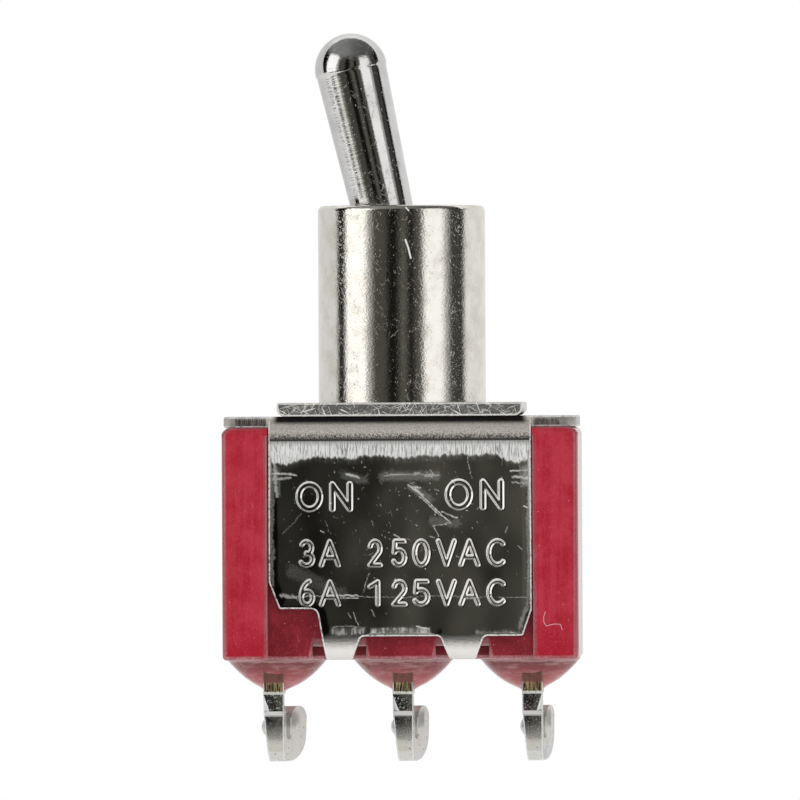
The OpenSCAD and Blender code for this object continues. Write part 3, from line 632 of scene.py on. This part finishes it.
def bright_nickel():
    finish = plated("bright_nickel", colour(231, 228, 220), colour(214, 210, 201), rough=0.04,
                    sizes=BARREL_MARKS, depth=0.006, barrel_r=BARREL_R)
    flange = finish.ramp(finish.z, *FLANGE_Z)
    hatch = 0.0
    for turn in STROKE_TURNS:
        hatch = finish.noise(1, 2, 0.5, finish.stretched(FLANGE_STROKES, turn)).larger(hatch)
    patches = finish.ramp(finish.noise(0.8, 3), 0.38, 0.6)
    rubbed = finish.ramp(hatch, 0.64, 0.7) * flange * (0.4 + patches * 0.6)
    front = finish.ramp(finish.y, *BARREL_FRONT_Y)
    scratch = finish.line(LONG_SCRATCH, 0.045).larger(finish.line(RIM_NICK, 0.035)) * front
    tone = finish.mix(flange, finish.tone, colour(206, 205, 204))
    # The flange's rounded edges get a painted highlight; its rubbed strokes and the scratches are wear.
    edge = finish.attribute("edge") * flange
    tone = finish.mix(rubbed * 0.9 + scratch + edge * 0.6, tone, colour(248, 246, 240))
    metal = 1 - finish.dull - rubbed * 0.7 - scratch * 0.9 - edge * 0.5 - flange * 0.12
    finish.set(Base_Color=tone, Metallic=metal, Roughness=finish.rough + flange * 0.14 + rubbed * 0.1,
               Normal=finish.bump(rubbed, 0.006, finish.relief))
    return finish


bushing_shape = merged_copy("bushing")
soften(bushing_shape, BUSHING_EDGE, segments=4)
finished_piece("plated_bushing", bushing_shape, bright_nickel(), "housing", "bushing_nickel", "bushing")


# The frame is one strip of plated steel, folded over the case and clinched under it by four tabs.
# Its front flap is smooth and bright, with stamped lettering, a brushed band under the bend, and scuffs.
FRAME_EDGE = 0.06 * MM
FLAP_HALF_WIDTH = 4.76
BEND_END_Z = -1.4
FLAP_END_Z = -8.46
GRID_STEP = 0.03
GRID_MARGIN = 0.05
GRID_BELOW, GRID_ABOVE = 0.2, 0.1
BEND_RIM_Z = BEND_END_Z - 0.2
ROLL_DEPTH = 0.02
ROLL_WIDTH = 0.3
ROLL_TOP_Z = -1.7
LETTER_DEPTH = 0.06
ON_STROKE, ON_WALL = 0.085, 0.075
RATING_STROKE, RATING_WALL = 0.06, 0.075
RATING_WALL_HIGHLIGHT = 0.7
# No letter or mark shows farther than this outside its box.
MARK_REACH = 0.3


def ring(middle, radii, start, end, steps=20):
    """Points on an ellipse's arc; angles in degrees."""
    return [(middle[0] + radii[0] * cos(radians(a)), middle[1] + radii[1] * sin(radians(a)))
            for a in np.linspace(start, end, steps)]


OVAL = ring((0.5, 0.5), (0.5, 0.5), 0, 360, 40)
# Strokes of each letter, in a box one unit wide and high.
GLYPHS = {
    "O": [OVAL],
    "0": [OVAL],
    "N": [[(0, 0), (0, 1), (1, 0), (1, 1)]],
    "A": [[(0, 0), (0.5, 1), (1, 0)], [(0.18, 0.32), (0.82, 0.32)]],
    "V": [[(0, 1), (0.5, 0), (1, 1)]],
    "C": [ring((0.52, 0.5), (0.52, 0.5), 48, 312, 32)],
    "1": [[(0, 0.78), (0.75, 1), (0.75, 0)]],
    "2": [ring((0.5, 0.7), (0.48, 0.3), 165, -35) + [(0, 0), (1, 0)]],
    "3": [ring((0.48, 0.74), (0.44, 0.26), 150, -90), ring((0.48, 0.26), (0.52, 0.26), 90, -150)],
    "5": [[(0.92, 1), (0.14, 1), (0.06, 0.52)] + ring((0.46, 0.32), (0.52, 0.32), 140, -150)],
    "6": [ring((0.5, 0.3), (0.48, 0.3), 0, 360, 32), ring((0.98, 0.34), (0.96, 0.72), 178, 106, 14)],
}
# Where the letters stand: left, right, bottom and top.
ON_ROWS = (("O", -3.74, -2.8, -3.93, -2.87), ("N", -2.52, -1.72, -3.93, -2.87),
           ("O", 1.66, 2.62, -3.89, -2.8), ("N", 2.93, 3.75, -3.89, -2.8))
RATING_COLUMNS = ((-3.65, -3.1), (-2.91, -2.17), (-1.15, -0.65), (-0.29, 0.24), (0.47, 1.07),
                  (1.33, 2.03), (2.14, 2.88), (3.15, 3.87))
RATING_ROWS = (("3A250VAC", -5.94, -4.96), ("6A125VAC", -7.36, -6.42))


def distance_to(points, path):
    """Each point's distance from a path through (X, Z) corners."""
    nearest = np.full(len(points), np.inf)
    for start, end in zip(np.array(path[:-1]), np.array(path[1:])):
        run = end - start
        along = np.clip((points - start) @ run / (run @ run), 0, 1)
        nearest = np.minimum(nearest, np.hypot(*(points - start - along[:, None] * run).T))
    return nearest


def stamped_depth(points):
    """How deep the stamped lettering is at points (X, Z) of the front flap, from 0 to 1."""
    depth = np.zeros(len(points))
    letters = [(letter, *box, ON_STROKE, ON_WALL) for letter, *box in ON_ROWS]
    letters += [(letter, *column, *row, RATING_STROKE, RATING_WALL)
                for text, *row in RATING_ROWS for letter, column in zip(text, RATING_COLUMNS)]
    for letter, left, right, low, high, stroke, wall in letters:
        near = np.flatnonzero(np.all((points > np.array((left, low)) - MARK_REACH)
                                     & (points < np.array((right, high)) + MARK_REACH), axis=1))
        wide, tall = right - left - 2 * stroke, high - low - 2 * stroke
        for strokes in GLYPHS[letter]:
            path = [(left + stroke + u * wide, low + stroke + v * tall) for u, v in strokes]
            sunk = np.clip((stroke + wall / 2 - distance_to(points[near], path)) / wall, 0, 1)
            depth[near] = np.maximum(depth[near], sunk * sunk * (3 - 2 * sunk))
    return depth


# Marks on the front flap: path through (X, Z), half-width, strength and how broken up the mark is.
FLAP_MARKS = (
    (((0.4, -3.06), (0.62, -3.24), (0.8, -3.36)), 0.09, 0.7, 1.0),
    (((0.55, -3.2), (1.12, -3.7), (1.5, -4.06), (1.85, -4.37)), 0.03, 0.8, 1.0),
    (((0.7, -3.42), (1.2, -3.86), (1.44, -4.1)), 0.03, 0.7, 1.0),
    (((0.3, -3.02), (0.55, -3.1), (0.72, -3.12)), 0.05, 0.7, 0.9),
    (((1.85, -4.37), (1.48, -4.44), (1.2, -4.48), (1.3, -4.7), (1.41, -4.88)), 0.026, 0.65, 1.0),
    (((1.52, -3.97), (1.8, -4.1), (2.1, -4.19)), 0.03, 0.7, 0.9),
    (((2.43, -1.99), (2.61, -2.75)), 0.016, 0.55, 0.4),
    (((-0.54, -2.67), (0.3, -2.62), (1.45, -2.66)), 0.04, 0.6, 1.0),
    (((0.55, -2.58), (1.2, -2.72)), 0.07, 0.5, 0.9),
    (((1.09, -2.45), (1.2, -2.63)), 0.02, 0.7, 0.3),
    (((-1.91, -2.56), (-1.48, -2.71)), 0.075, 0.7, 0.8),
    (((-4.62, -2.58), (-3.72, -2.62)), 0.05, 0.75, 0.8),
    (((-4.6, -2.76), (-3.95, -2.74)), 0.05, 0.6, 0.9),
    (((-4.52, -2.21), (-4.46, -3.37)), 0.1, 0.6, 0.9),
    (((4.02, -2.52), (4.67, -2.5)), 0.04, 0.7, 0.8),
    (((4.1, -2.72), (4.67, -2.76)), 0.06, 0.7, 0.9),
    (((4.06, -2.9), (4.6, -2.94)), 0.04, 0.6, 0.9),
    (((-3.54, -4.02), (-4.23, -4.71)), 0.016, 0.5, 0.5),
    (((-2.71, -4.28), (-2.6, -4.68)), 0.016, 0.5, 0.4),
    (((-1.01, -4.29), (-0.97, -4.47)), 0.016, 0.5, 0.4),
    (((-4.23, -6.98), (-1.08, -7.02)), 0.022, 0.6, 0.9),
    (((-4.3, -6.95), (-3.79, -7.04)), 0.11, 0.55, 1.0),
    (((-2.17, -6.97), (-1.55, -6.98)), 0.028, 0.9, 0.3),
    (((-2.17, -7.07), (-1.55, -7.08)), 0.02, 0.8, 0.4),
    (((-1.08, -7.02), (4.6, -7.06)), 0.018, 0.4, 0.8),
    (((-1.12, -6.17), (-1.33, -6.85)), 0.02, 0.55, 0.7),
    (((-1.88, -7.61), (-1.8, -7.79)), 0.018, 0.6, 0.3),
    (((-1.7, -7.54), (-1.51, -8.05)), 0.02, 0.6, 0.5),
    (((-1.08, -7.5), (-0.94, -7.76)), 0.018, 0.6, 0.4),
    (((-2.44, -8.12), (-2.0, -8.07), (-1.4, -8.12)), 0.03, 0.5, 0.9),
    (((0.6, -8.1), (1.05, -8.2)), 0.05, 0.8, 0.8),
    (((4.3, -8.14), (4.56, -7.5)), 0.12, 0.25, 1.0),
    (((-4.6, -2.3), (-4.62, -6.6)), 0.07, 0.3, 1.0),
    (((-0.6, -2.7), (1.3, -2.68)), 0.24, 0.2, 0.6),
    (((0.4, -3.1), (1.0, -3.5)), 0.22, 0.2, 0.7),
    (((-3.9, -6.1), (-2.2, -6.9)), 0.35, 0.13, 0.8),
    (((1.2, -4.3), (2.0, -4.4)), 0.24, 0.14, 0.8),
    (((-2.0, -2.62), (-1.3, -2.8)), 0.22, 0.18, 0.7),
    (((4.62, -2.3), (4.62, -7.6)), 0.06, 0.25, 1.0),
)
# Patches hatched with upright strokes: left, right, bottom, top and strength.
HATCHED = ((-2.58, -1.26, -8.44, -8.1, 0.6), (-1.12, 1.12, -8.46, -8.12, 0.7),
           (2.7, 4.3, -8.44, -8.24, 0.35), (-4.74, -4.3, -3.4, -2.3, 0.35),
           (4.3, 4.74, -3.1, -2.3, 0.4))
HATCH_FADE = 0.08
# The ragged lower edge of the brushed band, through (X, Z).
BAND_EDGE = ((-4.7, -2.12), (-4.55, -2.19), (-3.95, -2.17), (-3.65, -2.05), (-3.36, -1.98), (-1.5, -1.97),
             (1.5, -1.95), (3.6, -1.93), (3.95, -2.12), (4.52, -2.16), (4.7, -2.05))
BAND_FADE = 0.09
BAND_HAZE = 0.25
# Small chance marks: their middle and spread along X and along Z, and their lengths with the share of each.
CHANCE_MARKS = 420
CHANCE_SEED = 805
CHANCE_PLACE = ((-0.4, 2.6), (-3.9, 1.9))
CHANCE_LENGTHS = (0.005, 0.03, 0.16)
CHANCE_SHARES = (0.7, 0.22, 0.08)
CHANCE_WIDTH = 0.017
CLOUD_CORNER = np.array((-5.2, -9.0))
CLOUD_SPAN = (11, 9)


def cloud(points, sizes, chance):
    """A smooth random field from 0 to 1 whose lumps have the given width and height."""
    table = chance.random(tuple(int(span / size) + 3 for span, size in zip(CLOUD_SPAN, sizes)))
    across, up = (points - CLOUD_CORNER).T / np.array(sizes)[:, None]
    i, j = across.astype(int), up.astype(int)
    u, v = across - i, up - j
    u, v = u * u * (3 - 2 * u), v * v * (3 - 2 * v)
    return ((table[i, j] * (1 - u) + table[i + 1, j] * u) * (1 - v)
            + (table[i, j + 1] * (1 - u) + table[i + 1, j + 1] * u) * v)


def flap_wear(points):
    """Wear of the front flap at points (X, Z): how rubbed, and how far in the brushed band, from 0 to 1."""
    chance = np.random.default_rng(CHANCE_SEED)
    grit = 0.6 * cloud(points, (0.045, 0.045), chance) + 0.4 * cloud(points, (0.25, 0.09), chance)
    sway = [0.05 * cloud(points, (0.1, 0.1), chance) + 0.08 * cloud(points, (0.6, 0.6), chance) - 0.065
            for _ in range(2)]
    bent = points + np.stack(sway, axis=1)
    rubbed = np.zeros(len(points))
    for path, width, strength, broken in FLAP_MARKS:
        near = np.flatnonzero(np.all((points > np.min(path, axis=0) - MARK_REACH)
                                     & (points < np.max(path, axis=0) + MARK_REACH), axis=1))
        reach = np.clip(1.3 - distance_to(bent[near], path) / width, 0, 1)
        worn = np.clip(reach * (1 + broken) - grit[near] * broken * 1.7, 0, 1)
        rubbed[near] = np.maximum(rubbed[near], worn * strength)
    for _ in range(CHANCE_MARKS):
        start = np.array([chance.normal(middle, spread) for middle, spread in CHANCE_PLACE])
        slope = chance.uniform(0, 2 * pi)
        length = chance.choice(CHANCE_LENGTHS, p=CHANCE_SHARES) * chance.uniform(0.5, 1.5)
        end = start + length * np.array([cos(slope), sin(slope)])
        near = np.flatnonzero(np.all(abs(points - start) < MARK_REACH, axis=1))
        reach = np.clip(1.5 - distance_to(points[near], (start, end)) / CHANCE_WIDTH, 0, 1)
        rubbed[near] = np.maximum(rubbed[near], reach * chance.random() ** 2 * 0.9)
    upright = 0.7 * cloud(points, (0.05, 0.3), chance) + 0.3 * cloud(points, (0.3, 0.2), chance)
    for left, right, low, high, strength in HATCHED:
        inset = np.min((bent[:, 0] - left, right - bent[:, 0], bent[:, 1] - low, high - bent[:, 1]), axis=0)
        hatch = np.clip(inset / HATCH_FADE, 0, 1) * (0.25 + 0.75 * np.clip(upright * 2.4 - 0.7, 0, 1))
        rubbed = np.maximum(rubbed, hatch * strength)
    tooth = 0.16 * (cloud(points, (0.5, 9), chance) - 0.5) + 0.12 * (cloud(points, (0.07, 9), chance) - 0.5)
    above = points[:, 1] - (np.interp(points[:, 0], *np.array(BAND_EDGE).T) + tooth)
    brushed = np.clip(above / BAND_FADE + 0.5, 0, 1)
    rubbed = np.maximum(rubbed, 0.2 * np.clip(above / BAND_HAZE + 1, 0, 1) * upright)
    return rubbed, brushed


SEAM_CORNERS = 20
SEAM_TURN = radians(1)


def close_seams(shape):
    """Welds the tip of each hairline seam, where a face's edge turns straight back, to the seam's mouth."""
    tips = {}
    outlines = [face for face in shape.faces if len(face.verts) > SEAM_CORNERS]
    for corner in (c for face in outlines for c in face.loops if c.calc_angle() < SEAM_TURN):
        tips[corner.vert] = min((corner.link_loop_prev.vert, corner.link_loop_next.vert),
                                key=lambda v: (v.co - corner.vert.co).length)
    bmesh.ops.weld_verts(shape, targetmap=tips)


FACING_FRONT = -0.999
TRIANGLES_INSIDE = 1
TRIANGLE_GAP = 1e-7


def stamp_flap(shape):
    """Swaps the front flap's one face for a fine grid that carries its stamping and its wear."""
    face = max((f for f in shape.faces if f.normal.y < FACING_FRONT), key=lambda f: f.calc_area())
    face_y = face.verts[0].co.y
    outline = np.array([(v.co.x, v.co.z) for v in face.verts]) / MM
    for edge in face.edges:
        edge.smooth = False
    columns = np.arange(-FLAP_HALF_WIDTH, FLAP_HALF_WIDTH, GRID_STEP)
    rows = np.arange(FLAP_END_Z - GRID_BELOW, BEND_END_Z + GRID_ABOVE, GRID_STEP)
    spots = np.stack(np.meshgrid(columns, rows, indexing="ij"), axis=-1).reshape(-1, 2)
    crossed = np.zeros(len(spots), bool)
    for (x0, z0), (x1, z1) in zip(outline, np.roll(outline, -1, axis=0)):
        if z0 != z1:
            level = (spots[:, 1] > z0) != (spots[:, 1] > z1)
            crossed ^= level & (spots[:, 0] < x0 + (spots[:, 1] - z0) * (x1 - x0) / (z1 - z0))
    inset = distance_to(spots, [*outline, outline[0]])
    kept = crossed & (inset > GRID_MARGIN)
    rolled = np.where(spots[:, 1] < ROLL_TOP_Z, ROLL_DEPTH * np.clip(1 - inset / ROLL_WIDTH, 0, 1) ** 2, 0)
    depth = stamped_depth(spots)
    rubbed, brushed = flap_wear(spots)
    rubbed_layer = shape.verts.layers.float.new("rubbed")
    brushed_layer = shape.verts.layers.float.new("brushed")
    wall_highlight_layer = shape.verts.layers.float.new("wall")
    corners = list(face.verts)
    bmesh.ops.delete(shape, geom=[face], context="FACES_ONLY")
    for vert in corners:
        if vert.co.z > BEND_RIM_Z * MM:
            vert[brushed_layer] = 1.0
        else:
            vert.co.y = face_y + ROLL_DEPTH * MM
    rating_top = RATING_ROWS[0][2]
    for index in np.flatnonzero(kept):
        x, z = spots[index]
        sunk = LETTER_DEPTH * depth[index] + rolled[index]
        vert = shape.verts.new((x * MM, face_y + sunk * MM, z * MM))
        vert[rubbed_layer] = rubbed[index]
        vert[brushed_layer] = brushed[index]
        # The letters' walls carry a painted highlight, weaker on the rating rows.
        shine = 1.0 if z > rating_top else RATING_WALL_HIGHLIGHT
        vert[wall_highlight_layer] = 4 * depth[index] * (1 - depth[index]) * shine
        corners.append(vert)
    rim = len(outline)
    places = [Vector(spot) for spot in (*outline, *spots[kept])]
    rim_edges = [(i, (i + 1) % rim) for i in range(rim)]
    _, _, triangles, sources, *_ = delaunay_2d_cdt(places, rim_edges, [list(range(rim))],
                                                   TRIANGLES_INSIDE, TRIANGLE_GAP)
    for triangle in triangles:
        shape.faces.new([corners[sources[spot][0]] for spot in triangle])
    shape.normal_update()


def paint_shadow(finish, amount, tint):
    """Covers part of a surface with a painted shadow: a dark diffuse layer with no shine."""
    painted_shadow = finish.node("ShaderNodeBsdfDiffuse", {}, {"Color": tint})
    unshadowed = Value(finish, finish.shader.outputs[0])
    covered = finish.node("ShaderNodeMixShader", {}, {0: amount, 1: unshadowed, 2: painted_shadow})
    finish.tree.links.new(covered.socket, finish.tree.nodes["Material Output"].inputs["Surface"])


FLANGE_HALF_WIDTH = 4.6
SHEET_STROKES = (0.05, 0.2, 0.5)
# Places where a tone, wear, painted shade or painted shadow starts and where it is full.
SHEARED_X = (FLAP_HALF_WIDTH + 0.06, FLAP_HALF_WIDTH + 0.1)
BROKEN_Z = (-0.44, -0.52)
BROKEN_LEFT_X = (-6.02, -5.9)
BROKEN_RIGHT_X = (6.0, 5.9)
BEND_Z = (BEND_END_Z - 0.02, BEND_END_Z + 0.03)
BEND_SHADE_Z = (-1.0, -1.26)
BEND_FOOT_SHADE_Z = (-1.26, -1.36)
BEND_SHADOW_X = (FLANGE_HALF_WIDTH + 0.1, FLANGE_HALF_WIDTH - 0.2)
BEND_SHADOW_Z = (-0.8, -0.62)
BAND_SHADE_Z = (-1.62, -1.38)
FLAP_SHADE_X = (1.6, -1.4)
TAB_Z = (FLAP_END_Z + 0.16, FLAP_END_Z - 0.06)
TAB_LIT_Z = (-8.3, -8.95)


def plated_sheet():
    finish = Finish("plated_sheet")
    rubbed, brushed, wall, edge = (finish.attribute(name) for name in ("rubbed", "brushed", "wall", "edge"))
    grain = finish.noise(0.08, 3, 0.7)
    strokes = finish.noise(1, 4, 0.7, finish.stretched(SHEET_STROKES))
    shear = finish.noise(1, 4, 0.75, finish.stretched(SHEET_STROKES))
    haze = finish.noise(0.9, 4, 0.6)
    side = abs(finish.x)
    sheared = finish.ramp(side, *SHEARED_X)
    broken = finish.ramp(finish.z + shear * 0.25, *BROKEN_Z) * finish.ramp(finish.x, *BROKEN_LEFT_X)
    broken = broken * finish.ramp(finish.x + shear * 0.4, *BROKEN_RIGHT_X) * sheared
    bend = finish.ramp(finish.z, *BEND_Z) * (1 - sheared)
    tab = finish.ramp(finish.z + grain * 0.1, *TAB_Z)
    sparkle = finish.ramp(finish.noise(0.055, 3, 0.7), 0.38, 0.64)
    brushing = finish.ramp(strokes, 0.36, 0.56)
    base = finish.mix(haze, colour(196, 193, 184), colour(212, 209, 200))
    # Painted shade: the flap darkens towards its left.
    base = finish.mix(finish.ramp(finish.x + haze * 2, *FLAP_SHADE_X) * 0.75, base, colour(122, 122, 121))
    # Painted shading on the bend: light high on it and darker lower down, with a painted dark line at its
    # foot; the sparkle is its grain.
    upper = finish.mix(sparkle, colour(214, 208, 198), colour(248, 243, 234))
    lower = finish.mix(sparkle, colour(64, 61, 58), colour(152, 148, 143))
    height = finish.z + sparkle * 0.12
    base = finish.mix(bend, base, finish.mix(finish.ramp(height, *BEND_SHADE_Z), upper, lower))
    base = finish.mix(finish.ramp(finish.z, *BEND_FOOT_SHADE_Z) * bend, base, colour(52, 49, 46))
    # Painted shading on the tabs: dark where they leave the flap and pale lower down, where they turn under.
    tab_shading = finish.mix(finish.ramp(height, *TAB_LIT_Z), colour(104, 101, 96), colour(238, 235, 230))
    base = finish.mix(tab, base, tab_shading)
    worn_band = finish.mix(brushing, colour(134, 133, 132), colour(248, 248, 247))
    worn_band = finish.mix(finish.ramp(finish.z, *BAND_SHADE_Z) * 0.6, worn_band, colour(120, 119, 117))
    base = finish.mix(brushed * (1 - bend), base, worn_band)
    base = finish.mix(sheared, base, finish.mix(shear, colour(150, 145, 139), colour(224, 221, 216)))
    torn = finish.mix(finish.ramp(shear, 0.35, 0.65), colour(52, 49, 46), colour(140, 134, 128))
    base = finish.mix(broken, base, torn)
    base = finish.mix(rubbed, base, colour(236, 236, 233))
    # Painted highlight on the walls of the stamped letters.
    base = finish.mix(wall, base, colour(250, 249, 246))
    # Painted highlight on the rounded edges, patchy with the grain, with less metal there.
    bare = edge * finish.ramp(grain, 0.3, 0.55)
    base = finish.mix(bare * 0.8, base, colour(246, 244, 242))
    rough = 0.055 + haze * 0.03 + rubbed * 0.3 + brushed * 0.25
    rough = rough + bend * 0.28 + tab * 0.14 + sheared * 0.3 + edge * 0.2
    metal = 1 - rubbed * 0.7 - brushed * 0.6 - bend * 0.3 - tab * 0.2
    metal = metal - broken * 0.5 - bare * 0.7 - wall * 0.35
    skin = finish.bump(finish.noise(2.6, 1), 0.05)
    skin = finish.bump(sparkle * (bend + tab * 0.7), 0.008, skin)
    skin = finish.bump(strokes * brushed, 0.02, skin)
    skin = finish.bump(shear * sheared, 0.03, skin)
    skin = finish.bump(rubbed, 0.01, skin)
    finish.set(Base_Color=base, Normal=skin, Roughness=rough, Metallic=metal)
    # Painted shadow under the flange: the top of the bend is covered with a dark layer that has no shine.
    painted_shadow = finish.ramp(finish.z + grain * 0.06, *BEND_SHADOW_Z) * finish.ramp(side, *BEND_SHADOW_X) * bend
    paint_shadow(finish, painted_shadow, colour(30, 28, 27))
    return finish


frame_shape = merged_copy("frame")
close_seams(frame_shape)
soften(frame_shape, FRAME_EDGE)
stamp_flap(frame_shape)
finished_piece("folded_frame", frame_shape, plated_sheet(), "housing", "frame_steel", "frame")


# The studio: a white floor and a white surround behind the switch, two tall softboxes in front at its sides,
# and a dark room round the camera, which stands far off and level with the bushing's foot.
PHOTO_PX = 800
FOCAL_PX = 16500
CAMERA_DISTANCE = 600 * MM
CAMERA_HEIGHT = 0.084 * MM
CAMERA_ASIDE = -0.085 * MM
CAMERA_AZIMUTH = radians(1.9)
CAMERA_ROLL = radians(0.28)

camera_data = bpy.data.cameras.new("camera")
camera_data.sensor_width = 36
camera_data.lens = FOCAL_PX / PHOTO_PX * camera_data.sensor_width
camera_data.clip_start = 0.01
camera = bpy.data.objects.new("camera", camera_data)
bpy.context.collection.objects.link(camera)
camera.location = (CAMERA_ASIDE * cos(CAMERA_AZIMUTH) + CAMERA_DISTANCE * sin(CAMERA_AZIMUTH),
                   CAMERA_ASIDE * sin(CAMERA_AZIMUTH) - CAMERA_DISTANCE * cos(CAMERA_AZIMUTH), CAMERA_HEIGHT)
camera.rotation_euler = (pi / 2, CAMERA_ROLL, CAMERA_AZIMUTH)
bpy.context.scene.camera = camera

FLOOR_DROP = 45 * MM
FLOOR_BACK = 300 * MM
FLOOR_FRONT = 65 * MM
FLOOR_SIDE = 300 * MM
FLOOR_GREY = (0.88, 0.88, 0.88, 1)
FLOOR_WHITE = (0.92, 0.92, 0.92, 1)
floor_mesh = bpy.data.meshes.new("floor")
floor_mesh.from_pydata([(-FLOOR_SIDE, -FLOOR_FRONT, -FLOOR_DROP), (FLOOR_SIDE, -FLOOR_FRONT, -FLOOR_DROP),
                        (FLOOR_SIDE, FLOOR_BACK, -FLOOR_DROP), (-FLOOR_SIDE, FLOOR_BACK, -FLOOR_DROP)],
                       [], [(0, 1, 2, 3)])
floor = bpy.data.objects.new("floor", floor_mesh)
bpy.context.collection.objects.link(floor)
floor_finish = Finish("white_floor", Roughness=0.9, Emission_Color=(1, 1, 1, 1), Emission_Strength=0.34)
floor_finish.set(Base_Color=floor_finish.mix(floor_finish.noise(40, 2), FLOOR_GREY, FLOOR_WHITE))
floor_mesh.materials.append(floor_finish.material)


def softbox(name, azimuth, elevation, width, height, distance, radiance):
    """A rectangular lamp that faces the switch; azimuth is measured from the camera's side to the right."""
    data = bpy.data.lights.new(name, "AREA")
    data.shape = "RECTANGLE"
    data.size = width
    data.size_y = height
    data.energy = radiance * pi * width * height
    lamp = bpy.data.objects.new(name, data)
    bpy.context.collection.objects.link(lamp)
    side = radians(azimuth)
    rise = radians(elevation)
    lamp.location = distance * Vector((sin(side) * cos(rise), -cos(side) * cos(rise), sin(rise)))
    lamp.rotation_euler = (-Vector(lamp.location)).to_track_quat("-Z", "Y").to_euler()
    return lamp


NEAR = 0.3
softbox("left_softbox", -65, 17, width=0.19, height=0.28, distance=NEAR, radiance=1.35)
softbox("left_softbox_edge", -43.5, 17, width=0.04, height=0.26, distance=NEAR, radiance=0.42)
softbox("right_softbox", 47, 8, width=0.165, height=0.36, distance=NEAR, radiance=1.15)
softbox("right_softbox_edge", 66.5, 8, width=0.046, height=0.34, distance=NEAR, radiance=0.42)
fill = softbox("front_fill", 4, 20, width=1.0, height=1.0, distance=0.8, radiance=1.5)
fill.visible_glossy = False


class Surroundings(Finish):
    """The light that comes from the room, by direction."""

    def __init__(self, name):
        world = bpy.data.worlds.new(name)
        bpy.context.scene.world = world
        world.use_nodes = True
        self.tree = world.node_tree
        self.shader = self.tree.nodes["Background"]
        direction = self.node("ShaderNodeTexCoord", {}, {}, "Generated")
        self.x, self.y, self.z = (
            self.node("ShaderNodeSeparateXYZ", {}, {0: direction}, axis) for axis in "XYZ")


room = Surroundings("studio_room")
bearing = room.x.math("ARCTAN2", 0 - room.y)


def between(begin, full, fade, end):
    """1 between two bearings, fading at both; in degrees from the camera's side to the right."""
    begin, full, fade, end = (radians(angle) for angle in (begin, full, fade, end))
    return room.ramp(bearing, begin, full) * room.ramp(bearing, end, fade)


ROOM_DARK = 0.009
WHITE = (1, 1, 1, 1)
WARM_WHITE = (1, 0.99, 0.86, 1)
overhead = room.z.larger(0.0)
behind = room.ramp(room.y - overhead * 0.43, 0.1, 0.16) * room.ramp(room.x, -1, 1, 0.76, 0.9)
strips = between(-6, 2, 7, 12) * 0.11 + between(16, 22, 30, 36) * 0.09
walls = between(-95, -80, -19.5, -16.5) * 0.07 + room.ramp(bearing, radians(62), radians(72)) * 0.05
low_card = between(-63, -57, -55, -40) * room.ramp(room.z, -0.16, -0.2) * 0.75
ceiling = room.ramp(room.z, 0.5, 0.75) * room.ramp(room.x, -0.5, 0.5, 0.3, 0.13)
front = room.ramp(room.y, 0.1, 0.0) * room.ramp(room.z, 0.75, 0.5)
seen = room.node("ShaderNodeLightPath", {}, {}, "Is Camera Ray")
level = behind + ceiling + (strips + walls + low_card + ROOM_DARK) * front
room.set(Color=room.mix(front * (1 - seen), WHITE, WARM_WHITE), Strength=seen.larger(level))

bpy.context.scene.view_settings.view_transform = "Standard"
